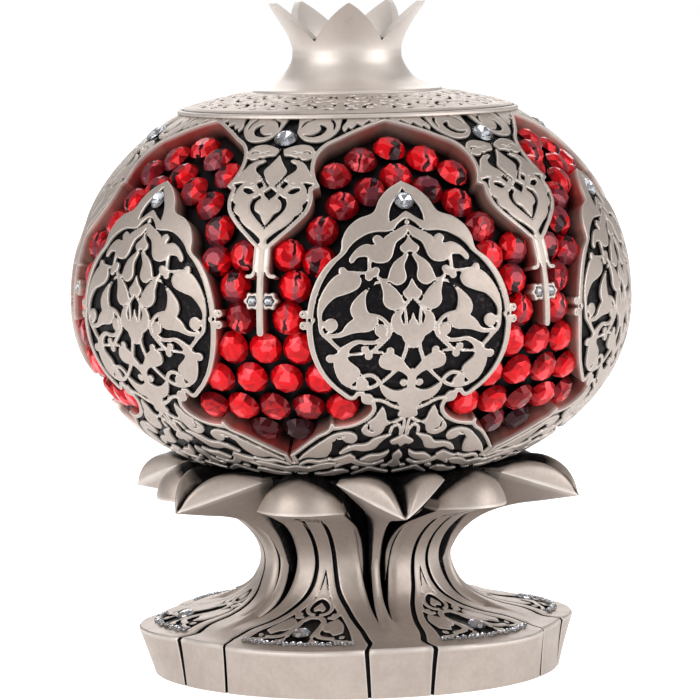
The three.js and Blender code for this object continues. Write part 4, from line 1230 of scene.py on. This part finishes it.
def leaf_place(side, up):
    """A pointed leaf: a keel that spreads from the narrow rib to the leaf's edge (up to 1), and two
    plump lobes with a crease between them that roll back to the root (1 to 2)."""
    away = np.abs(side)
    share = np.clip(up, 0, 1)
    turn = np.clip(up - 1, 0, 1) * math.pi / 2
    edge_reach = LEAF["tip reach"] + (LEAF["corner reach"] - LEAF["tip reach"]) * away**1.15
    edge_height = LEAF["tip"] + (LEAF["corner"] - LEAF["tip"]) * away**1.15
    width = 1.5 + (LEAF["half"] - 1.5) * share**2.6
    reach_here, height_here = face_along(LEAF_FACE, share)
    out = (reach_here - 24.6) / (LEAF["tip reach"] - 24.6)
    face_reach = 24.6 + (edge_reach - 24.6) * out - 1.2 * away**2 * (1 - share)
    face_height = height_here + (edge_height - LEAF["tip"]) * share**3
    crease = 2.2 * np.sin(2 * turn) * np.exp(-((away / (0.12 + 0.14 * turn)) ** 2))
    plump = 1.9 * np.sin(2 * turn) ** 0.8 * np.sin(np.clip(away, 0, 1) * math.pi) ** 0.8
    nose = 2.6 * np.sin(2 * turn) * np.clip(away / 0.12, 0, 1) * (1 - away) ** 0.6
    back = LEAF["back reach"]
    lobe_reach = back + (edge_reach - back) * np.cos(turn) ** 0.85 - crease + nose
    lobe_height = edge_height + (55.6 - edge_height) * np.sin(turn) - crease + plump
    lobe_width = LEAF["half"] * (1 - 0.1 * np.sin(turn))
    on_lobe = up > 1
    sideways = side * np.where(on_lobe, lobe_width, width)
    reach = np.where(on_lobe, lobe_reach, face_reach)
    return sideways, reach, np.where(on_lobe, lobe_height, face_height)


PETAL_MARKS = [
    ("stem", [(2.6, -4), (2.6, 8), (2.6, 16), (2.6, 21), (2.8, 24.6)], (0.62, 0.68)),
    ("stem", [(2.9, 24.8), (2.2, 25.4), (0, 25.4)], (1.0, 2.1, 2.1)),
    ("cut stem", [(2.7, 25.2), (2, 24.6), (1.3, 26.1), (0.7, 24.7), (0, 25.8)], 0.36),
]


def head_pieces(prefix, place, first, columns, rows, marks=(), face_length=20.0):
    """Six petals or leaves, each closed by walls that run in to a core near the axis."""
    up_rows = np.concatenate([even_rows(0, 1, 1 / rows), even_rows(1, 2, 1 / rows)[1:]])
    side, up, tris = sheet_grid(1.0, up_rows, columns)
    raised = np.full(len(side), -REACH)
    if marks:
        raised = -draw(marks, side * 11.5, up * face_length, lambda y: y)
    data = np.stack([side, up, np.full(len(side), -REACH), raised], 1)
    if marks:
        for level in (0.0, WALL_RUN / 2, WALL_RUN):
            data, tris = split(data, tris, RAISED, level)
    side, up, raised = data[:, AZIMUTH], data[:, ALONG], data[:, RAISED]
    sideways, reach, height = place(side, up)
    wall = np.clip(raised / WALL_RUN, 0, 1)
    share = np.clip(up, 0, 1)
    reach, height = reach - wall * (0.8 - 0.4 * share), height + wall * (0.3 + 0.7 * share)
    height = np.where(up > 1, below_fruit(sideways, reach, height), height)
    points = placed(sideways, reach, height)

    def inward(rim):
        return placed(sideways[rim] * 20 / reach[rim], np.full(len(rim), 20.0), height[rim])

    top, faces = closed_plate(points, tris, inward)
    hidden = len(top) - len(points)
    away = np.abs(side)
    # The heads darken towards their backs by the fruit: black paint and painted shade.
    back = np.clip((up - 1.3 - 0.15 * (1 - away)) / 0.42, 0, 1)
    cavity = np.maximum(np.clip(wall * 2, 0, 1), back)
    if prefix == "leaf":
        crease = np.exp(-((away / (0.05 + 0.3 * np.clip(up - 1, 0, 1) ** 1.5)) ** 2))
        crease = crease * np.clip((up - 1.02) / 0.1, 0, 1)
        root = np.clip((0.8 - up) / 0.5, 0, 1) * np.clip((away - 0.5) / 0.4, 0, 1)
        cavity = np.maximum(np.maximum(cavity, crease * 0.9), root)
    else:
        # Painted shade under the lip at the petal's sides.
        under = np.clip((0.98 - up) / 0.1, 0, 1) * np.clip((away - 0.95) / 0.05, 0, 1) * 0.8
        cavity = np.maximum(cavity, under)
    # Painted highlight along the lip, with rubbed paint: a bright band where the face turns into the dome.
    lip = np.exp(-((up - 1) / 0.05) ** 2)
    attributes = {"cavity": np.concatenate([cavity, np.ones(hidden)]),
                  "wear_and_sheen": np.concatenate([lip * 0.9, np.zeros(hidden)])}
    for k in range(SECTORS):
        turned = turn_about_axis(top, first + k * SECTOR)
        make_piece(f"{prefix}_{k + 1}", turned, faces, silver, attributes,
                   replaces=("stand",))


head_pieces("petal", petal_place, HALF_SECTOR, 50, 38, PETAL_MARKS, 39.0)
head_pieces("leaf", leaf_place, 0.0, 56, 30)


def make_foot_crystals():
    """The crystals in the panels, and the small crystals in a row along each panel's foot."""
    places, nodes, small = [], [], []
    for k in range(SECTORS):
        turn = HALF_SECTOR + k * SECTOR
        row = np.array([float(stand_arc(FOOT_CRYSTAL))])
        point, normal = stand_points(np.array([0.0]), row, np.array([-0.25]))
        places.append((turn_about_axis(point, turn)[0], turn_about_axis(normal, turn)[0]))
        nodes.append(f"crystal_foot_{k + 1}")
        across = np.linspace(-14.2, 14.2, 17)
        dip = 0.25 * np.sin(np.arange(17) * 2.4)
        turns, rows = np.degrees(across / 50), float(stand_arc(CRYSTAL_ROW)) + dip
        point, normal = stand_points(turns, rows, np.full(17, 0.12))
        small += list(zip(turn_about_axis(point, turn), turn_about_axis(normal, turn)))
    set_stones("crystals_foot", places, (2.5, 1.3, 0.5), clear_cut, nodes, 0.02,
               bright_foil)
    set_stones("crystals_foot_row", small, (0.95, 0.6, 0.2), clear_cut, (), 0.12,
               bright_foil)


make_foot_crystals()

# ---------------------------------------------------------------- cap and crown

CAP_PROFILE = [(0, 147.5), (42.6, 147.1), (44, 146.9), (44.8, 147.3), (44.7, 147.9), (44.1, 148.3),
               (43.6, 148.2), (43.1, 148.6), (42.4, 149)]
CAP_DOME = [(42.4, 149), (38, 150.2), (33, 151.3), (28.5, 152.2), (25, 152.6)]
CAP_NECK = [(25, 152.6), (24.7, 153.1), (24.1, 153.4), (23.2, 153.5), (20.6, 154.4), (17.6, 156.2),
            (15.6, 158.7), (14.5, 161), (14.3, 163.2)]
CROWN = {"petals": 5, "turn": -10.0, "waist": 163.2, "notch": 165.8, "tip": 176.0, "radius": 14.3,
         "flare": 7.3,
         "power": 1.6, "wall": 2.3}


def crown_radius(height):
    """The crown's outer radius at a height: it flares from its waist to its tips."""
    share = np.clip((height - CROWN["waist"]) / (CROWN["tip"] - CROWN["waist"]), 0, 1)
    return CROWN["radius"] + CROWN["flare"] * share ** CROWN["power"]


def crown_place(azimuth, radius, height):
    """The turned profile with its upper part drawn down to a zigzag edge of pointed petals."""
    period = 360 / CROWN["petals"]
    offset = np.mod(azimuth - CROWN["turn"] + period / 2, period) - period / 2
    share = np.abs(offset) / (period / 2)
    edge = CROWN["tip"] + (CROWN["notch"] - CROWN["tip"]) * share**1.08
    full = CROWN["tip"] - CROWN["waist"]
    lowered = CROWN["waist"] + (edge - CROWN["waist"]) * (height - CROWN["waist"]) / full
    above = height > CROWN["waist"]
    level = np.where(above, lowered, height)
    wall = crown_radius(height) - radius
    return polar(azimuth, np.where(above, crown_radius(level) - wall, radius), level)


def make_crown():
    """The neck and crown: a turned wall with a pointed edge, open above, with a hollow inside."""
    neck = curve(CAP_NECK, steps=6, corner=50)
    levels = CROWN["waist"] + (CROWN["tip"] - CROWN["waist"]) * np.linspace(0, 1, 22)[1:]
    outer = np.stack([crown_radius(levels), levels], 1)
    inner = np.stack([crown_radius(levels[::-1]) - CROWN["wall"], levels[::-1]], 1)
    edge = np.array([[outer[-1, 0] - 0.25, outer[-1, 1]], [inner[0, 0] + 0.25, inner[0, 1]]])
    hollow = np.array([(12.0, 163.2), (11.7, 160), (10.3, 157.4), (6, 156.6), (0, 156.5)])
    line = np.concatenate([[(0, 152.2), (24.8, 152.2)], neck, outer, edge, inner, hollow])
    shape, faces = lathe(line[:, 0], line[:, 1], 240, crown_place)
    which = np.repeat(np.arange(len(line)), 240)
    shape, faces, first = welded(shape, faces)
    which = which[first]
    start_inner = 2 + len(neck) + len(outer) + 1
    inside = which >= start_inner
    # Painted shade: the crown's inner wall darkens downwards into the hollow, and is darker still at the
    # notches.
    depth = np.clip((168 - shape[:, 2]) / 6, 0, 1)
    cavity = np.where(inside, 0.12 + 0.88 * depth, 0.0)
    # A lighter top edge of the crown: rubbed paint and painted highlight.
    rim = np.exp(-(((which - (start_inner - 1)) / 1.2) ** 2))
    period = 360 / CROWN["petals"]
    offset = np.degrees(np.arctan2(shape[:, 0], -shape[:, 1])) - CROWN["turn"]
    from_notch = np.abs(np.mod(offset, period) - period / 2) * math.pi / 180 * CROWN["radius"]
    notch_painted_shade = np.exp(-((from_notch / 0.7) ** 2)) * (which >= start_inner - 1) * (shape[:, 2] > 163)
    cavity = np.maximum(cavity, notch_painted_shade)
    attributes = {"cavity": cavity, "wear_and_sheen": rim * 0.8}
    make_piece("crown", shape, faces, silver_lit_copy, attributes,
               replaces=("cap",))


CAP_MARKS = [
    ("stem", [(0.4, 2.2), (1.6, 3.8), (3.4, 4.4), (5.2, 3.6), (5.4, 2.2), (4.2, 1.6),
              (3.2, 2.4)], (0.3, 0.5, 0.32)),
    ("stem", [(0.5, 4.6), (1.4, 6), (3.2, 6.8), (5.2, 6.3), (6.6, 5.2)], (0.26, 0.48, 0.28)),
    ("stem", [(0, 9.6), (1.2, 8.6), (2.8, 8.9), (3.4, 10), (2.6, 10.8), (1.6, 10.4)], (0.28, 0.46, 0.3)),
    ("stem", [(4.4, 8.4), (5.6, 9.6), (7, 9.2), (7.3, 8), (6.2, 7.4)], (0.26, 0.44, 0.28)),
    ("leaf", [(0.7, 6.9), (1.8, 7.8), (3.4, 8.1), (2, 8.6), (0.7, 8)]),
    ("leaf", [(6.2, 1.6), (7.4, 2.8), (7.6, 4.4), (6.4, 3.6)]),
    ("leaf", [(4.4, 10.8), (6, 11.6), (7.6, 11), (6, 10.4)]),
    ("bead", [(0.0, 3)], 0.55), ("bead", [(7.8, 6.6)], 0.5), ("bead", [(3.9, 5.5)], 0.3),
              ("bead", [(2.2, 1.4)], 0.45),
]


# The dome's engraving: its sectors, half of one in degrees, the size of its chart across and along, and
# its depth and rounded shoulder.
CAP_SECTORS, CAP_HALF = 12, 15.0
CAP_CHART_RADIUS, CAP_CHART_LENGTH = 32.0, 12.4
CAP_DEPTH, CAP_SHOULDER = 0.75, 0.15


def make_cap_rim():
    """The cap's double rim: a turned ring on a flat disc, with a dark groove and a lighter outer edge,
    rubbed and painted as a highlight.
    """
    line = np.concatenate([curve(CAP_PROFILE, steps=5, corner=60), [(42.2, 148.9), (42.2, 148), (0, 148)]])
    points, faces = lathe(line[:, 0], line[:, 1], 200)
    points, faces, _ = welded(points, faces)
    radius = np.hypot(points[:, 0], points[:, 1])
    groove = np.exp(-(((radius - 43.6) / 0.3) ** 2)) * (points[:, 2] > 148)
    worn_and_sheen = np.exp(-(((radius - 44.6) / 0.4) ** 2)) * 0.7
    make_piece("cap_rim", points, faces, silver, {"cavity": groove, "wear_and_sheen": worn_and_sheen},
               replaces=("cap",))


def make_cap_dome():
    """The dome as twelve engraved sectors closed down to its flat underside."""
    dome = curve(CAP_DOME[::-1], steps=10)
    arcs = np.concatenate([[0.0], np.cumsum(np.linalg.norm(np.diff(dome, axis=0), axis=1))])
    azimuth, along, tris = sheet_grid(CAP_HALF, even_rows(0, float(arcs[-1]), 0.58), 30)
    at = np.interp(along, arcs, dome[:, 0])
    across, up = np.radians(azimuth) * CAP_CHART_RADIUS, along * CAP_CHART_LENGTH / arcs[-1]
    raised = -draw(CAP_MARKS, across, up, lambda y: y)
    data = np.stack([azimuth, along, np.full(len(at), -REACH), raised], 1)
    for level in (-CAP_SHOULDER, 0.0, WALL_RUN):
        data, tris = split(data, tris, RAISED, level)
    raised = data[:, RAISED]
    wall = np.clip(raised / WALL_RUN, 0, 1)
    shoulder = np.clip((raised + CAP_SHOULDER) / CAP_SHOULDER, 0, 1)
    radius = np.interp(data[:, ALONG], arcs, dome[:, 0])
    height = np.interp(data[:, ALONG], arcs, dome[:, 1]) - CAP_DEPTH * wall - 0.08 * shoulder * (1 - wall)
    points = polar(data[:, AZIMUTH], radius, height)
    top, faces = closed_plate(points, tris, lambda rim: points[rim] * (1, 1, 0) + (0, 0, 148.2))
    faces = faces[:, ::-1]
    hidden = len(top) - len(points)
    # Lighter shoulders of the engraving: rubbed paint and painted highlight.
    wear_and_sheen = np.where(raised <= 0, np.exp(raised / CAP_SHOULDER), 0) * 0.7
    attributes = {"cavity": np.concatenate([wall, np.zeros(hidden)]),
                  "wear_and_sheen": np.concatenate([wear_and_sheen, np.zeros(hidden)])}
    points, faces = together([(turn_about_axis(top, k * 2 * CAP_HALF), faces) for k in range(CAP_SECTORS)])
    attributes = {key: np.tile(value, CAP_SECTORS) for key, value in attributes.items()}
    make_piece("cap_dome", points, faces, silver, attributes, replaces=("cap",))


make_crown()
make_cap_rim()
make_cap_dome()


def make_rosettes():
    """The two small flowers beside each pendant's stem: a lobed post that stands up from the bed, with a
    raised lobed ring round a dished middle. Its radius is a circle with six waves."""
    radii = np.array([0.0, 1.15, 1.3, 1.5, 1.9, 2.1, 2.1, 2.0, 0.0])
    lifts = np.array([-1.35, -1.35, -0.95, -0.7, -0.72, -0.95, -1.4, -6.2, -6.2])
    azimuth = np.arange(48) * 7.5
    shapes = []
    for k in range(SECTORS):
        for side in (-ROSETTE_SIDE, ROSETTE_SIDE):
            turn = HALF_SECTOR + k * SECTOR + degrees_beside(side, ROSETTE)
            point, normal = fruit_points(np.array([turn]), np.array([ROSETTE]), np.array([0.0]))
            across = polar(turn + 90, 1.0, 0.0)
            up = np.cross(normal[0], across)
            wave = 1 + 0.13 * np.cos(np.radians(azimuth * 6)) * (radii[:, None] > 1.4)
            a = np.radians(azimuth)[None]
            r = radii[:, None] * wave
            shape = point[0] + (r * np.cos(a))[..., None] * across + (r * np.sin(a))[..., None] * up
            shape = shape + (lifts[:, None, None] + 0 * a[..., None]) * normal[0]
            shapes.append((shape.reshape(-1, 3), grid_faces(9, 48, closed=True)[:, ::-1]))
    points, faces = together(shapes)
    level = np.tile(np.repeat(lifts, 48), 12)
    ring = np.tile(np.repeat(np.arange(9), 48), 12)
    points, faces, first = welded(points, faces)
    level, ring = level[first], ring[first]
    cavity = np.where(ring <= 1, 0.55, np.where(level < -1.5, 1.0, 0.0))
    bed = np.clip((-level - 1.4) / 4, 0, 1)
    attributes = {"cavity": cavity, "wear_and_sheen": (ring == 3) * 1.0, "bed": bed}
    make_piece("rosettes", points, faces, silver, attributes,
               replaces=("fruit",))


make_rosettes()

floor_mesh = bpy.data.meshes.new("floor")
floor_mesh.from_pydata([(-6, -6, 0), (6, -6, 0), (6, 6, 0), (-6, 6, 0)], [], [(0, 1, 2, 3)])
floor = bpy.data.objects.new("floor", floor_mesh)
bpy.context.scene.collection.objects.link(floor)
floor_finish = Finish("pale_floor")
floor_finish.set(Base_Color=floor_finish.mix(floor_finish.noise(2.0), (0.6, 0.6, 0.6), (0.62, 0.62, 0.62)),
                 Roughness=0.9, Emission_Color=(1.0, 1.0, 1.0), Emission_Strength=0.82)
floor_mesh.materials.append(floor_finish.material)

area_light("key", (-1.75, -0.95, 0.95), (0, 0, 0.11), 1.8, 1.7, 33, (1.0, 0.985, 0.97))
area_light("fill", (1.6, -1.1, 0.75), (0, 0, 0.11), 1.7, 1.6, 27, (1.0, 0.985, 0.98))
area_light("top", (0.0, 0.2, 1.7), (0, 0, 0.1), 1.5, 1.5, 7)
area_light("back", (0.3, 1.7, 0.9), (0, 0, 0.1), 1.4, 1.0, 12)
bpy.context.scene.view_settings.view_transform = "Standard"
